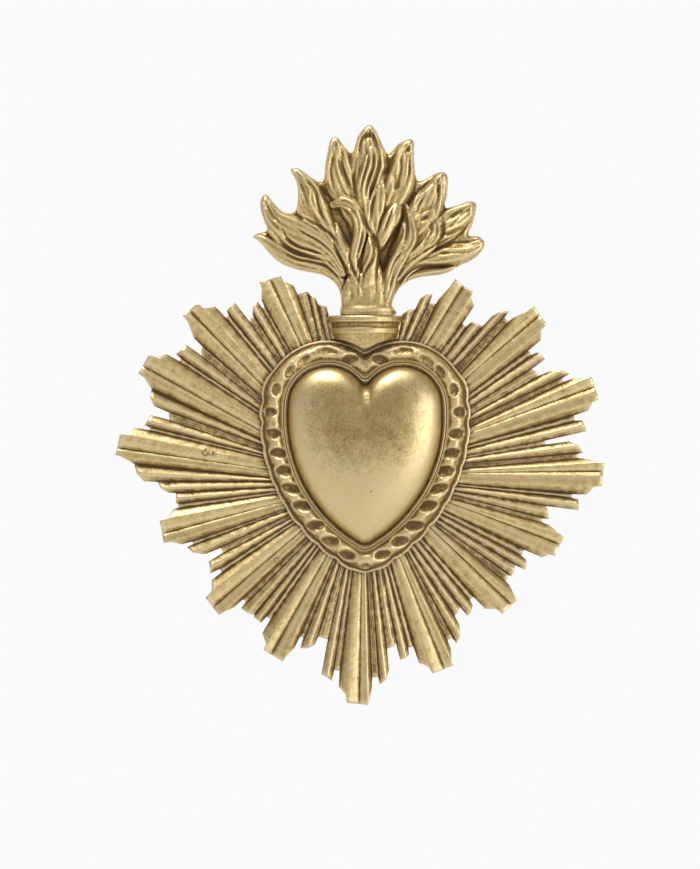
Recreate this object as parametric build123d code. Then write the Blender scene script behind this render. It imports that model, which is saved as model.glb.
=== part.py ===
from build123d import *
import math
import os

# A wall ex-voto: a pressed ray plate with a puffed heart in a gadrooned frame, a collar and a
# flame crest above it, a closing pan behind it and a hanging loop. Millimetres, +Z up. The front
# faces -Y, and the origin is on the wall, behind the middle of the rays. A depth is the distance
# from the wall, towards the front. A bearing is in degrees, clockwise from straight up, and is
# seen from the front.

# Ray plate
ray_reach = 50.0
neck_reach = 35.0
ray_centre_x = -0.4
sheet = 0.6
ridge_height = 1.7
minor_height = 1.1
seat_height = 0.45
pan_depth = 3.2

# Heart: the outer edge of the frame, which the other outlines follow at their insets
lobe_radius = 13.0
lobe_x = 7.4
lobe_z = 14.4
side_radius = 34.4
tip_z = -19.2
tip_round = 2.2
cleft_round = 1.1

# Facets along the arcs of half a heart outline, and round a pin or the wire
cleft_facets = 2
lobe_facets = 13
side_facets = 8
tip_facets = 2
pin_facets = 16
wire_facets = 12

# Heart frame
frame_rim = 0.5
frame_height = 2.5
frame_shoulder_inset = 0.7
frame_crown_inset = 2.3
frame_inner_inset = 3.9
frame_channel_inset = 1.2
frame_channel_width = 1.6
frame_channel_depth = 1.0
rebate_inset = 3.1
gadroon_count = 29
gadroon_width = 1.9
gadroon_length = 3.0
gadroon_sink = 0.75
gadroon_slant = 32.0
scallop_radius = 2.5
scallop_stand = 0.3

# Bezel wire and puffed heart
bezel_width = 0.5
bezel_height = 0.8
bezel_chamfer = 0.1
dome_inset = 4.6
dome_rise = 6.0
dome_flange = 0.5
dome_middle_z = 5.6

# Back pan
pan_sheet = 0.6
pan_flange_inset = 0.9
pan_wall_inset = 3.7
pan_draft = 0.5

# Rivets
rivet_radius = 0.5
rivet_head_radius = 0.75
rivet_head_height = 0.6
pan_rivet_inset = 2.0
neck_rivet_x = 1.5
neck_rivet_z = 28.3

# Flame crest
crest_span = 40.0
crest_foot_z = 32.4
crest_web = 2.0
crest_lift = 3.2
tongue_edge_drop = 1.5
inner_tongue_lift = 0.9
trunk_lift = 4.8
trunk_edge_drop = 2.8
pocket_depth = 1.3
tongue_root = 0.7
tang_overlap = 0.8
tang_width = 5.2
tang_foot_z = 27.0
tang_thickness = 1.2

# Collar
collar_radius = 7.4
collar_cove_radius = 6.6
collar_bead_radius = 6.9
collar_foot_radius = 5.0
collar_axis_depth = 2.5
collar_wall = 0.8
collar_rim_height = 1.2
collar_cove_height = 1.4
collar_bead_height = 0.8
collar_edge = 0.35
collar_foot_z = 25.2
collar_flange = 0.6
collar_flange_width = 14.8
collar_foot_width = 12.4

# Hanger
wire_radius = 0.6
strap_sheet = 0.4
strap_width = 5.2
strap_foot_z = 26.9
pivot_z = 30.6
loop_half_width = 4.4
loop_leg = 2.4
loop_bend = 1.0
loop_lean = 7.5
bend_facets = 3
head_facets = 14

# Clearances
fit = 0.1
running_fit = 0.06
overrun = 1.0

# Faces shared by several pieces, as depths from the wall
plate_front = pan_depth + sheet
frame_back = plate_front + seat_height
pivot_depth = pan_depth - strap_sheet - running_fit - wire_radius
crest_back = plate_front
tang_front = crest_back + tang_thickness

# Middle of the frame's band, where the hollows lie
gadroon_inset = (frame_channel_inset + frame_inner_inset) / 2

# Shares of the heart's outline, from the cleft round to the tip, where the pan's rivets are
pan_rivet_shares = (0.12, 0.28, 0.43)

# The frame's outer shoulder, as shares of the way in to its crown and of its height
shoulder_shares = ((0.15, 0.62), (0.40, 0.88))

# The frame's inner lip, as shares of its inset left and of the height below its top
lip_shares = ((1.0, 0.3), (0.9, 0.1), (0.78, 0.0))

# Each wide ray: the outer bearings and the inner bearings of its left foot, spike, groove, right
# edge and right foot, then the reach of the left foot, the left slope's end, the spike, the right
# edge and the right slope's end, as shares of ray_reach.
wide_ray_shares = [
    ((22.8, 24.6, 27.5, 30.8, 33), (22.2, 23, 25.4, 29.6, 31.6), (.770, .840, .876, .860, .816)),
    ((43, 44.6, 47.3, 50.2, 52.3), (43.3, 44.3, 45.7, 50, 51.5), (.872, .940, .968, .954, .896)),
    ((64.5, 66, 68.5, 71.6, 73.4), (64.5, 65.5, 66.8, 71.2, 72.5), (.920, .984, .996, .990, .936)),
    ((84.8, 86.3, 88.4, 92, 94.3), (84.5, 85.8, 86.8, 91.8, 93.4), (.876, .946, .964, .952, .892)),
    ((104, 106, 108.6, 112.3, 114), (103, 104, 105.5, 110.3, 111.8), (.760, .820, .836, .824, .780)),
    ((126, 128, 130.5, 134.5, 137.1), (122.5, 124, 126, 133, 135.2), (.720, .768, .784, .774, .712)),
    ((152.7, 154.2, 157, 160.7, 163.3), (150.5, 152.5, 155, 161, 162.4), (.764, .812, .828, .826, .768)),
    ((177.5, 178.7, 181, 184.4, 186.8), (177.5, 178.7, 181, 184.2, 186.4), (.836, .900, .904, .898, .836)),
    ((201.9, 203.5, 207.5, 210.3, 213.2), (199.5, 201, 205, 209, 211.3), (.728, .774, .798, .790, .736)),
    ((224.9, 226.2, 229.3, 233, 236.2), (223.5, 225.5, 229.5, 234, 236.3), (.728, .772, .792, .788, .724)),
    ((249.8, 251.8, 254.5, 258.3, 260.8), (247.8, 250, 253.5, 257.5, 259.3), (.768, .808, .836, .828, .764)),
    ((273.5, 275.2, 277, 280.5, 282.6), (270, 272.5, 275, 278, 281.7), (.912, .974, .992, .984, .928)),
    ((292.7, 294.8, 297, 300.3, 302.4), (290.5, 292, 294.5, 298.5, 301.7), (.912, .960, .988, .984, .924)),
    ((309.5, 311.9, 314, 316.8, 319.4), (308.5, 310, 312.5, 316, 318.8), (.872, .940, .968, .958, .900)),
    ((330.2, 332, 335, 338, 340.3), (330, 332.3, 335, 338.3, 340), (.816, .860, .884, .870, .816)),
]
wide_height_shares = (0.8, 0.55, 1.0)
narrow_ridge_share = 0.45
narrow_rise_share = 0.7

# The narrow flutes between the wide rays: outer bearing and inner bearing of the left foot, the
# reach at the left and right foot as shares of ray_reach, and the height as a share of
# minor_height. Each ends where the next flute or wide ray begins.
narrow_flute_shares = [
    (17.6, 16.3, 0.752, 0.784, 0.9), (20.9, 19.0, 0.744, 0.752, 0.1),
    (33.0, 31.6, 0.732, 0.732, 0.45), (34.5, 34.2, 0.756, 0.770, 0.9), (38.5, 37.4, 0.828, 0.884, 0.9),
    (41.3, 39.9, 0.852, 0.852, 0.1),
    (52.3, 51.5, 0.832, 0.832, 0.45), (54.0, 53.6, 0.856, 0.868, 0.9), (57.0, 56.5, 0.800, 0.812, 0.35),
    (60.0, 59.6, 0.848, 0.924, 0.9), (63.3, 61.7, 0.888, 0.888, 0.1),
    (73.4, 72.5, 0.876, 0.876, 0.45), (75.0, 74.3, 0.902, 0.910, 0.9), (78.3, 77.8, 0.740, 0.740, 0.15),
    (79.8, 79.0, 0.832, 0.884, 0.9), (83.5, 81.6, 0.860, 0.860, 0.1),
    (94.3, 93.4, 0.836, 0.836, 0.4), (95.5, 94.8, 0.862, 0.868, 0.9), (98.6, 98.0, 0.736, 0.758, 0.6),
    (102.6, 100.4, 0.732, 0.732, 0.1),
    (114.0, 111.8, 0.702, 0.702, 0.4), (116.3, 114.6, 0.724, 0.742, 0.8), (119.7, 118.2, 0.696, 0.710, 0.6),
    (123.6, 121.5, 0.700, 0.700, 0.1),
    (137.1, 135.2, 0.646, 0.646, 0.4), (139.0, 138.4, 0.668, 0.690, 0.8), (143.0, 142.4, 0.640, 0.660, 0.6),
    (146.5, 146.5, 0.696, 0.758, 0.8), (150.7, 149.2, 0.728, 0.728, 0.1),
    (163.3, 162.4, 0.700, 0.700, 0.4), (165.2, 165.0, 0.724, 0.742, 0.8), (168.6, 168.0, 0.670, 0.688, 0.5),
    (172.2, 172.0, 0.774, 0.826, 0.9), (175.5, 175.0, 0.796, 0.796, 0.1),
    (186.8, 186.4, 0.774, 0.774, 0.2), (188.7, 188.5, 0.820, 0.800, 0.8), (192.2, 191.7, 0.658, 0.658, 0.3),
    (196.0, 195.0, 0.688, 0.724, 0.8), (200.4, 198.4, 0.680, 0.680, 0.1),
    (213.2, 211.3, 0.672, 0.672, 0.35), (215.0, 214.2, 0.706, 0.704, 0.8), (218.4, 217.0, 0.696, 0.712, 0.6),
    (223.3, 220.9, 0.680, 0.680, 0.1),
    (236.2, 236.3, 0.676, 0.676, 0.35), (237.8, 238.5, 0.720, 0.700, 0.8), (241.8, 241.0, 0.632, 0.632, 0.15),
    (244.1, 243.6, 0.696, 0.756, 0.8), (248.7, 247.2, 0.726, 0.726, 0.1),
    (260.8, 259.3, 0.744, 0.744, 0.2), (262.2, 261.2, 0.754, 0.748, 0.7), (265.6, 264.2, 0.778, 0.820, 0.8),
    (269.1, 268.0, 0.872, 0.914, 0.9),
    (282.6, 281.7, 0.872, 0.872, 0.2), (283.5, 283.0, 0.898, 0.884, 0.9), (286.7, 285.0, 0.804, 0.816, 0.15),
    (288.9, 288.0, 0.880, 0.916, 0.9),
    (302.4, 301.7, 0.868, 0.868, 0.25), (303.4, 303.1, 0.896, 0.882, 0.9), (307.2, 306.0, 0.804, 0.828, 0.15),
    (319.4, 318.8, 0.842, 0.842, 0.35), (320.6, 320.5, 0.860, 0.866, 0.8), (324.0, 323.9, 0.766, 0.782, 0.15),
    (326.0, 325.7, 0.790, 0.822, 0.8), (329.3, 328.7, 0.788, 0.788, 0.1),
    (340.3, 340.0, 0.776, 0.776, 0.35),
]

# The short flutes beside the collar, in the same way, with their reach as shares of neck_reach
neck_flute_shares = [
    (13.4, 14.2, 0.960, 1.008, 0.5), (343.5, 342.3, 1.103, 1.057, 0.6), (345.4, 345.2, 1.028, 1.000, 0.4),
    (348.2, 347.4, 0.930, 0.930, 0.0),
]

# Outline of the crest's web and of the pocket behind it, from the middle of the crest's foot, as
# shares of crest_span across and up.
web_shares = [
    (-0.120, 0.000), (-0.120, 0.075), (-0.130, 0.125), (-0.150, 0.160), (-0.180, 0.185), (-0.225, 0.205),
    (-0.275, 0.215), (-0.325, 0.225), (-0.375, 0.240), (-0.420, 0.260), (-0.460, 0.290), (-0.495, 0.330),
    (-0.530, 0.370), (-0.560, 0.390), (-0.535, 0.410), (-0.490, 0.425), (-0.505, 0.475), (-0.520, 0.525),
    (-0.520, 0.575), (-0.505, 0.600), (-0.485, 0.600), (-0.460, 0.570), (-0.425, 0.530), (-0.390, 0.510),
    (-0.355, 0.515), (-0.340, 0.545), (-0.335, 0.620), (-0.345, 0.670), (-0.370, 0.720), (-0.355, 0.735),
    (-0.325, 0.730), (-0.275, 0.695), (-0.225, 0.665), (-0.205, 0.685), (-0.200, 0.740), (-0.190, 0.805),
    (-0.175, 0.870), (-0.155, 0.890), (-0.130, 0.880), (-0.100, 0.840), (-0.070, 0.810), (-0.055, 0.830),
    (-0.040, 0.885), (-0.015, 0.925), (0.020, 0.950), (0.050, 0.930), (0.075, 0.880), (0.095, 0.835),
    (0.115, 0.805), (0.135, 0.820), (0.165, 0.855), (0.195, 0.870), (0.230, 0.880), (0.245, 0.855),
    (0.245, 0.780), (0.255, 0.690), (0.275, 0.670), (0.325, 0.695), (0.370, 0.715), (0.400, 0.710),
    (0.415, 0.680), (0.410, 0.605), (0.400, 0.540), (0.455, 0.550), (0.515, 0.570), (0.550, 0.560),
    (0.555, 0.530), (0.535, 0.455), (0.515, 0.400), (0.565, 0.395), (0.595, 0.365), (0.585, 0.325),
    (0.540, 0.280), (0.475, 0.250), (0.415, 0.215), (0.355, 0.200), (0.275, 0.190), (0.225, 0.175),
    (0.180, 0.145), (0.150, 0.100), (0.135, 0.055), (0.140, 0.000),
]
pocket_shares = [
    (-0.070, 0.040), (-0.090, 0.170), (-0.280, 0.300), (-0.380, 0.420), (-0.250, 0.560), (-0.100, 0.700),
    (0.020, 0.720), (0.140, 0.660), (0.270, 0.520), (0.380, 0.400), (0.270, 0.290), (0.110, 0.170),
    (0.070, 0.040),
]

# The tongues of flame from tip to root: across, up and half width, as shares of crest_span.
outer_tongue_shares = [
    [(-0.545, 0.390, 0.010), (-0.500, 0.365, 0.030), (-0.435, 0.320, 0.045), (-0.365, 0.280, 0.040),
     (-0.285, 0.255, 0.035), (-0.205, 0.230, 0.035), (-0.140, 0.175, 0.040), (-0.105, 0.080, 0.035)],
    [(-0.500, 0.590, 0.015), (-0.480, 0.530, 0.040), (-0.430, 0.460, 0.060), (-0.345, 0.405, 0.070),
     (-0.255, 0.360, 0.060), (-0.175, 0.305, 0.045), (-0.115, 0.225, 0.030)],
    [(-0.355, 0.720, 0.015), (-0.310, 0.665, 0.040), (-0.280, 0.595, 0.055), (-0.255, 0.520, 0.060),
     (-0.210, 0.440, 0.050), (-0.155, 0.350, 0.035), (-0.100, 0.230, 0.025)],
    [(-0.150, 0.880, 0.015), (-0.145, 0.825, 0.040), (-0.135, 0.740, 0.055), (-0.110, 0.640, 0.060),
     (-0.070, 0.540, 0.045), (-0.035, 0.420, 0.030)],
    [(0.020, 0.940, 0.015), (0.020, 0.885, 0.045), (0.015, 0.800, 0.070), (0.010, 0.700, 0.075),
     (0.005, 0.580, 0.055), (0.005, 0.450, 0.035)],
    [(0.230, 0.870, 0.015), (0.205, 0.820, 0.040), (0.185, 0.740, 0.050), (0.160, 0.640, 0.055),
     (0.125, 0.530, 0.045), (0.095, 0.420, 0.030)],
    [(0.395, 0.705, 0.020), (0.365, 0.650, 0.040), (0.330, 0.575, 0.060), (0.280, 0.490, 0.060),
     (0.215, 0.395, 0.045), (0.155, 0.290, 0.030)],
    [(0.540, 0.555, 0.015), (0.490, 0.515, 0.045), (0.415, 0.450, 0.055), (0.325, 0.385, 0.045),
     (0.230, 0.310, 0.035), (0.165, 0.220, 0.025)],
    [(0.585, 0.360, 0.020), (0.525, 0.330, 0.035), (0.445, 0.300, 0.045), (0.355, 0.280, 0.040),
     (0.265, 0.255, 0.030), (0.195, 0.205, 0.025), (0.150, 0.125, 0.025), (0.130, 0.040, 0.020)],
]
inner_tongue_shares = [
    [(-0.155, 0.555, 0.015), (-0.105, 0.565, 0.030), (-0.055, 0.540, 0.035), (-0.025, 0.480, 0.035),
     (-0.025, 0.400, 0.030), (-0.050, 0.310, 0.025), (-0.065, 0.220, 0.020)],
    [(0.025, 0.870, 0.015), (0.040, 0.800, 0.030), (0.015, 0.710, 0.035), (-0.010, 0.620, 0.035),
     (0.005, 0.520, 0.030), (0.035, 0.410, 0.020)],
    [(0.080, 0.670, 0.015), (0.065, 0.605, 0.040), (0.055, 0.520, 0.045), (0.060, 0.430, 0.035),
     (0.075, 0.360, 0.020)],
    [(0.170, 0.565, 0.015), (0.145, 0.505, 0.035), (0.110, 0.435, 0.035), (0.080, 0.365, 0.020)],
    [(0.195, 0.540, 0.015), (0.215, 0.460, 0.030), (0.220, 0.380, 0.035), (0.175, 0.295, 0.040),
     (0.130, 0.200, 0.035), (0.100, 0.080, 0.025)],
    [(0.345, 0.480, 0.015), (0.350, 0.410, 0.030), (0.300, 0.335, 0.035), (0.220, 0.275, 0.035),
     (0.160, 0.195, 0.025)],
    [(-0.140, 0.440, 0.015), (-0.120, 0.355, 0.030), (-0.075, 0.270, 0.030), (-0.035, 0.185, 0.030),
     (-0.010, 0.100, 0.025)],
    [(0.030, 0.430, 0.010), (0.035, 0.340, 0.030), (0.025, 0.250, 0.040), (0.015, 0.160, 0.045),
     (0.005, 0.060, 0.045)],
]
trunk_shares = [
    (0.005, 0.330, 0.040), (0.005, 0.230, 0.065), (0.005, 0.140, 0.095), (0.005, 0.070, 0.120),
    (0.005, 0.000, 0.128),
]
lift_shares = (0.55, 0.80, 0.95, 1.0, 1.0, 1.0, 1.0, 1.0)

# A hollow of the frame: share of its length along, then of its width and of its sink there
gadroon_shares = ((-1.0, 0.3, 0.1), (-0.65, 0.8, 0.75), (0.0, 1.0, 1.0), (0.65, 0.8, 0.75), (1.0, 0.3, 0.1))
gadroon_side_facets = 4

# The puffed heart's section: the width left at each share of its rise, and how much rounder its
# cleft and tip are there.
puff_shares = (
    (1.0, 0.0, 1.0), (0.985, 0.24, 1.2), (0.95, 0.45, 1.6), (0.88, 0.64, 2.2), (0.76, 0.80, 3.0),
    (0.58, 0.92, 4.0), (0.32, 0.99, 5.0),
)


def at(x, z, depth):
    return Vector(x, -depth, z)


def strips(rings):
    """Flat triangles between rings of as many points each."""
    faces = []
    count = len(rings[0])
    for low, high in zip(rings, rings[1:]):
        for i in range(count):
            j = (i + 1) % count
            faces.append(triangle(low[i], low[j], high[j]))
            faces.append(triangle(low[i], high[j], high[i]))
    return faces


def skin(rings):
    """A closed solid through rings, with a flat end at the first and at the last."""
    ends = [Face(Wire.make_polygon(ring, close=True)) for ring in (rings[0], rings[-1])]
    return Solid(Shell(strips(rings) + ends))


def ring_skin(rings):
    """A closed solid through rings whose last is its first again."""
    return Solid(Shell(strips(rings)))


def triangle(a, b, c):
    return Face(Wire.make_polygon([a, b, c], close=True))


def prism(points, back, front):
    """A plate of the outline points (x, z) between two depths."""
    outline = Wire.make_polygon([at(x, z, back) for x, z in points], close=True)
    return Solid.extrude(Face(outline), Vector(0, back - front, 0))


def block(width, low_z, high_z, back, front):
    half = width / 2
    return prism([(-half, low_z), (half, low_z), (half, high_z), (-half, high_z)], back, front)


def arc(x, z, radius, start, end, facets):
    """Points along an arc, from its start to the last before its end."""
    turns = [start + (end - start) * i / facets for i in range(facets)]
    return [(x + radius * math.cos(turn), z + radius * math.sin(turn)) for turn in turns]


def pin(x, z, radius, back, front):
    """A pin along the depth, at x and z, round to within its facets."""
    return prism(arc(x, z, radius, 0, 2 * math.pi, pin_facets), back, front)


def side_centre():
    """Centre of the right side's arc: it meets the lobe's arc smoothly and passes the tip."""
    across = -lobe_x
    down = tip_z - lobe_z
    span = math.hypot(across, down)
    near = side_radius - lobe_radius
    along = (near ** 2 - side_radius ** 2 + span ** 2) / (2 * span)
    off = math.sqrt(near ** 2 - along ** 2)
    x = lobe_x + (along * across + off * down) / span
    z = lobe_z + (along * down - off * across) / span
    return x, z


def heart_outline(inset, share=1.0, soft=1.0):
    """The heart's outline at an inset, drawn in by share towards the dome's middle, from the cleft
    down the right side and up the left. Its cleft and tip are soft times as round."""
    sx, sz = side_centre()
    lobe = lobe_radius - inset
    side = side_radius - inset
    tip = tip_round * soft
    cleft = cleft_round * soft
    tip_centre = sz - math.sqrt((side - tip) ** 2 - sx ** 2)
    cleft_centre = lobe_z + math.sqrt((lobe + cleft) ** 2 - lobe_x ** 2)
    to_lobe = math.atan2(lobe_z - cleft_centre, lobe_x)
    past_lobe = math.atan2(lobe_z - sz, lobe_x - sx)
    past_tip = math.atan2(tip_centre - sz, -sx)
    down = -math.pi / 2
    half = arc(0, cleft_centre, cleft, down, to_lobe, cleft_facets)
    half += arc(lobe_x, lobe_z, lobe, to_lobe + math.pi, past_lobe, lobe_facets)
    half += arc(sx, sz, side, past_lobe, past_tip, side_facets)
    half += arc(0, tip_centre, tip, past_tip, down, tip_facets)
    other = [(-x, z) for x, z in reversed(half[1:])]
    whole = half + [(0, tip_centre - tip)] + other
    return [(x * share, dome_middle_z + (z - dome_middle_z) * share) for x, z in whole]


def heart_wire(inset, depth):
    return Wire.make_polygon([at(x, z, depth) for x, z in heart_outline(inset)], close=True)


def heart_stack(levels):
    """A solid through heart outlines, each an (inset, depth)."""
    return Solid.make_loft([heart_wire(inset, depth) for inset, depth in levels], ruled=True)


def heart_reach(bearing):
    """Distance from the ray centre to the frame's outer edge at a bearing."""
    angle = math.radians(bearing)
    dx, dz = math.sin(angle), math.cos(angle)
    mirror = 1 if dx >= 0 else -1
    start_x = ray_centre_x * mirror
    dx = dx * mirror
    sx, sz = side_centre()
    reach = math.hypot(lobe_x - sx, lobe_z - sz)
    widest_z = sz + (lobe_z - sz) * side_radius / reach
    for cx, cz, radius, upper in ((lobe_x, lobe_z, lobe_radius, True), (sx, sz, side_radius, False)):
        along = (cx - start_x) * dx + cz * dz
        off = (cx - start_x) * dz - cz * dx
        if abs(off) <= radius:
            far = along + math.sqrt(radius ** 2 - off ** 2)
            if (far * dz >= widest_z) == upper:
                return far
    return side_radius


def wide_folds(row, before):
    """The first four folds of a wide ray: foot, spike, groove and right edge."""
    outer, inner, (foot, slope, spike, edge, end) = row
    groove = (spike + 2 * edge) / 3
    tops = [ridge_height * share for share in wide_height_shares]
    return [
        (outer[0], inner[0], 0.0, before, foot),
        (outer[1], inner[1], tops[0], slope, spike),
        (outer[2], inner[2], tops[1], groove, groove),
        (outer[3], inner[3], tops[2], edge, (edge + end) / 2),
    ]


def narrow_folds(row, before, ahead):
    """The foot of a narrow flute and its ridge, part of the way to the next foot."""
    outer, inner, first, last, height = row
    folds = [(outer, inner, 0.0, before, first)]
    if height > 0:
        middle = first + (last - first) * narrow_rise_share
        outer_middle = outer + (ahead[0] - outer) * narrow_ridge_share
        inner_middle = inner + (ahead[1] - inner) * narrow_ridge_share
        folds.append((outer_middle, inner_middle, minor_height * height, middle, middle))
    return folds


def ray_folds():
    """The plate's folds in order: outer bearing, inner bearing, height at the outer end, and the
    reach just before and just after the fold."""
    starts = [(row[0][0], row[1][0], row) for row in wide_ray_shares]
    starts += [(row[0], row[1], row) for row in narrow_flute_shares]
    for outer, inner, first, last, height in neck_flute_shares:
        reach_share = neck_reach / ray_reach
        starts.append((outer, inner, (outer, inner, first * reach_share, last * reach_share, height)))
    starts.sort(key=lambda start: start[0])
    turned = starts[1:] + [(starts[0][0] + 360, starts[0][1] + 360)]
    before = starts[-1][2][3]
    folds = []
    for (_, _, row), ahead in zip(starts, turned):
        if len(row) == 3:
            folds += wide_folds(row, before)
            before = row[2][4]
        else:
            folds += narrow_folds(row, before, ahead)
            before = row[3]
    return folds


def ray_plate():
    """The pressed sheet: folds run out from the middle, low under the frame and high at the tips.
    The sheet is as thick everywhere, so the folds show on its back too."""
    folds = ray_folds()
    middle = (ray_centre_x, 0.0, 0.0)

    def foot(fold):
        reach = heart_reach(fold[1]) + scallop_stand + fit
        angle = math.radians(fold[1])
        height = seat_height * min(1.0, 2 * fold[2] / ridge_height)
        return (ray_centre_x + reach * math.sin(angle), reach * math.cos(angle), height)

    def point(fold, share):
        inner = foot(fold)
        top = max(fold[3], fold[4]) * ray_reach
        angle = math.radians(fold[0])
        outer = (ray_centre_x + top * math.sin(angle), top * math.cos(angle), fold[2])
        full = math.hypot(outer[0] - inner[0], outer[1] - inner[1])
        part = 1.0 - (top - share * ray_reach) / full
        return tuple(a + (b - a) * part for a, b in zip(inner, outer))

    def front(p):
        return at(p[0], p[1], plate_front + p[2])

    def back(p):
        return at(p[0], p[1], pan_depth + p[2])

    faces = []
    for left, right in zip(folds, folds[1:] + folds[:1]):
        left_chain = [foot(left)]
        if left[3] < left[4]:
            left_chain.append(point(left, left[3]))
        left_chain.append(point(left, left[4]))
        right_chain = [foot(right)]
        if right[4] < right[3]:
            right_chain.append(point(right, right[4]))
        right_chain.append(point(right, right[3]))
        corners = [(middle, left_chain[0], right_chain[0])]
        a, b = 0, 0
        while a < len(left_chain) - 1 or b < len(right_chain) - 1:
            step_left = b == len(right_chain) - 1 or (a < len(left_chain) - 1 and a <= b)
            if step_left:
                corners.append((left_chain[a], left_chain[a + 1], right_chain[b]))
                a += 1
            else:
                corners.append((left_chain[a], right_chain[b + 1], right_chain[b]))
                b += 1
        for corner in corners:
            faces.append(triangle(*(front(p) for p in corner)))
            faces.append(triangle(*(back(p) for p in reversed(corner))))
        ends = [(left_chain[-1], right_chain[-1])]
        if left[3] != left[4]:
            ends.append((point(left, left[3]), point(left, left[4])))
        for p, q in ends:
            faces.append(Face(Wire.make_polygon([front(p), front(q), back(q), back(p)], close=True)))
    plate = Solid(Shell(faces))
    for x, z in pan_rivet_places() + neck_rivet_places():
        plate = plate - pin(x, z, rivet_radius + running_fit, 0, plate_front + ridge_height + overrun)
    return plate


def pan_rivet_places():
    """Three rivets down each side of the heart, under the hollow of the frame."""
    outline = heart_wire(pan_rivet_inset, 0)
    places = []
    for share in pan_rivet_shares:
        for turn in (share, 1 - share):
            spot = outline.position_at(turn)
            places.append((spot.X, spot.Z))
    return places


def neck_rivet_places():
    return [(-neck_rivet_x, neck_rivet_z), (neck_rivet_x, neck_rivet_z)]


def rivet(x, z, back, front):
    """A shank between two faces, with a head past each."""
    shank = pin(x, z, rivet_radius, back - rivet_head_height / 2, front + rivet_head_height / 2)
    tail = pin(x, z, rivet_head_radius, back - rivet_head_height, back)
    head = pin(x, z, rivet_head_radius, front, front + rivet_head_height)
    return shank + tail + head


def pan_rivets():
    back = pan_depth - pan_sheet
    return [rivet(x, z, back, frame_back) for x, z in pan_rivet_places()]


def neck_rivets():
    back = pan_depth - 2 * strap_sheet
    return [rivet(x, z, back, tang_front) for x, z in neck_rivet_places()]


def gadroon_places():
    """Even steps round the band: place, outward direction and side."""
    outline = heart_wire(gadroon_inset, 0)
    places = []
    for i in range(gadroon_count):
        share = (i + 0.5) / gadroon_count
        spot = outline.position_at(share)
        along = outline.tangent_at(share)
        outward = Vector(-along.Z, 0, along.X)
        if outward.dot(Vector(spot.X, 0, spot.Z - dome_middle_z)) < 0:
            outward = outward * -1
        places.append((spot, outward))
    return places


def gadroon(spot, outward):
    """The cutter of one hollow: a boat laid aslant in the band."""
    side = 1 if spot.X >= 0 else -1
    lean = outward.rotate(Axis.Y, -side * gadroon_slant)
    across = Vector(-lean.Z, 0, lean.X)
    crown = frame_back + frame_height
    rings = []
    for along, width_share, sink_share in gadroon_shares:
        place = Vector(spot.X, 0, spot.Z) + lean * (along * gadroon_length / 2)
        half = width_share * gadroon_width / 2
        bowl = arc(0, crown, half, 0, -math.pi, gadroon_side_facets) + [(-half, crown)]
        ring = [(half, crown + overrun)]
        ring += [(off, crown - (crown - depth) * sink_share * gadroon_sink / half) for off, depth in bowl]
        ring.append((-half, crown + overrun))
        rings.append([place + across * off - Vector(0, depth, 0) for off, depth in ring])
    return skin(rings)


def scallop(spot, outward):
    """A round bulge of the thin rim beside a hollow."""
    middle = Vector(spot.X, 0, spot.Z) + outward * (gadroon_inset + scallop_stand - scallop_radius)
    return pin(middle.X, middle.Z, scallop_radius, frame_back, frame_back + frame_rim)


def scalloped_frame():
    """The gadrooned band round the heart: a thin scalloped rim, a rounded crown with slanting
    hollows, a channel behind and a rebate for the puffed heart's flange."""
    top = frame_back + frame_height
    shoulder = [(frame_shoulder_inset, frame_back), (frame_shoulder_inset, frame_back + frame_rim)]
    for across, up in shoulder_shares:
        shoulder.append((frame_shoulder_inset + across * frame_crown_inset, frame_back + up * frame_height))
    band = heart_stack(shoulder + [(frame_crown_inset, top)])
    rim = heart_stack([(0, frame_back), (0, frame_back + frame_rim)])
    for spot, outward in gadroon_places():
        rim = rim + scallop(spot, outward)
    lip = [(frame_inner_inset, frame_back - overrun)]
    for across, down in lip_shares:
        lip.append((across * frame_inner_inset, top - down * frame_height))
    lip.append((lip[-1][0], top + overrun))
    low = frame_back - overrun
    channel_top = frame_back + frame_channel_depth
    channel_inner = frame_channel_inset + frame_channel_width
    channel = heart_stack([(frame_channel_inset, low), (frame_channel_inset, channel_top)])
    channel = channel - heart_stack([(channel_inner, low), (channel_inner, channel_top)])
    rebate = heart_stack([(rebate_inset, low), (rebate_inset, frame_back + dome_flange + fit)])
    frame = band + rim - heart_stack(lip) - channel - rebate
    return frame - [gadroon(spot, outward) for spot, outward in gadroon_places()]


def bezel_wire():
    """The thin rim between the frame and the puffed heart, on the heart's flange."""
    back = frame_back + dome_flange
    outer = frame_inner_inset + fit
    inner = outer + bezel_width
    top = back + bezel_height
    low = top - bezel_chamfer
    ring = heart_stack([(outer, back), (outer, low), (outer + bezel_chamfer, top)])
    lip = inner - bezel_chamfer
    return ring - heart_stack([(inner, back - overrun), (inner, low), (lip, top), (lip, top + overrun)])


def puff(inset, back, rise):
    rings = []
    for width, share, soft in puff_shares:
        outline = heart_outline(inset, width, soft)
        rings.append([at(x, z, back + rise * share) for x, z in outline])
    return skin(rings)


def heart_dome():
    """The puffed heart, pressed from sheet, with the flange that the frame holds down."""
    flange = heart_stack([(rebate_inset + fit, frame_back), (rebate_inset + fit, frame_back + dome_flange)])
    front = puff(dome_inset, frame_back + dome_flange, dome_rise)
    hollow = puff(dome_inset + sheet, frame_back, dome_rise + dome_flange - sheet)
    mouth = heart_stack([(dome_inset + sheet, frame_back - overrun), (dome_inset + sheet, frame_back + fit)])
    return flange + front - hollow - mouth


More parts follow.
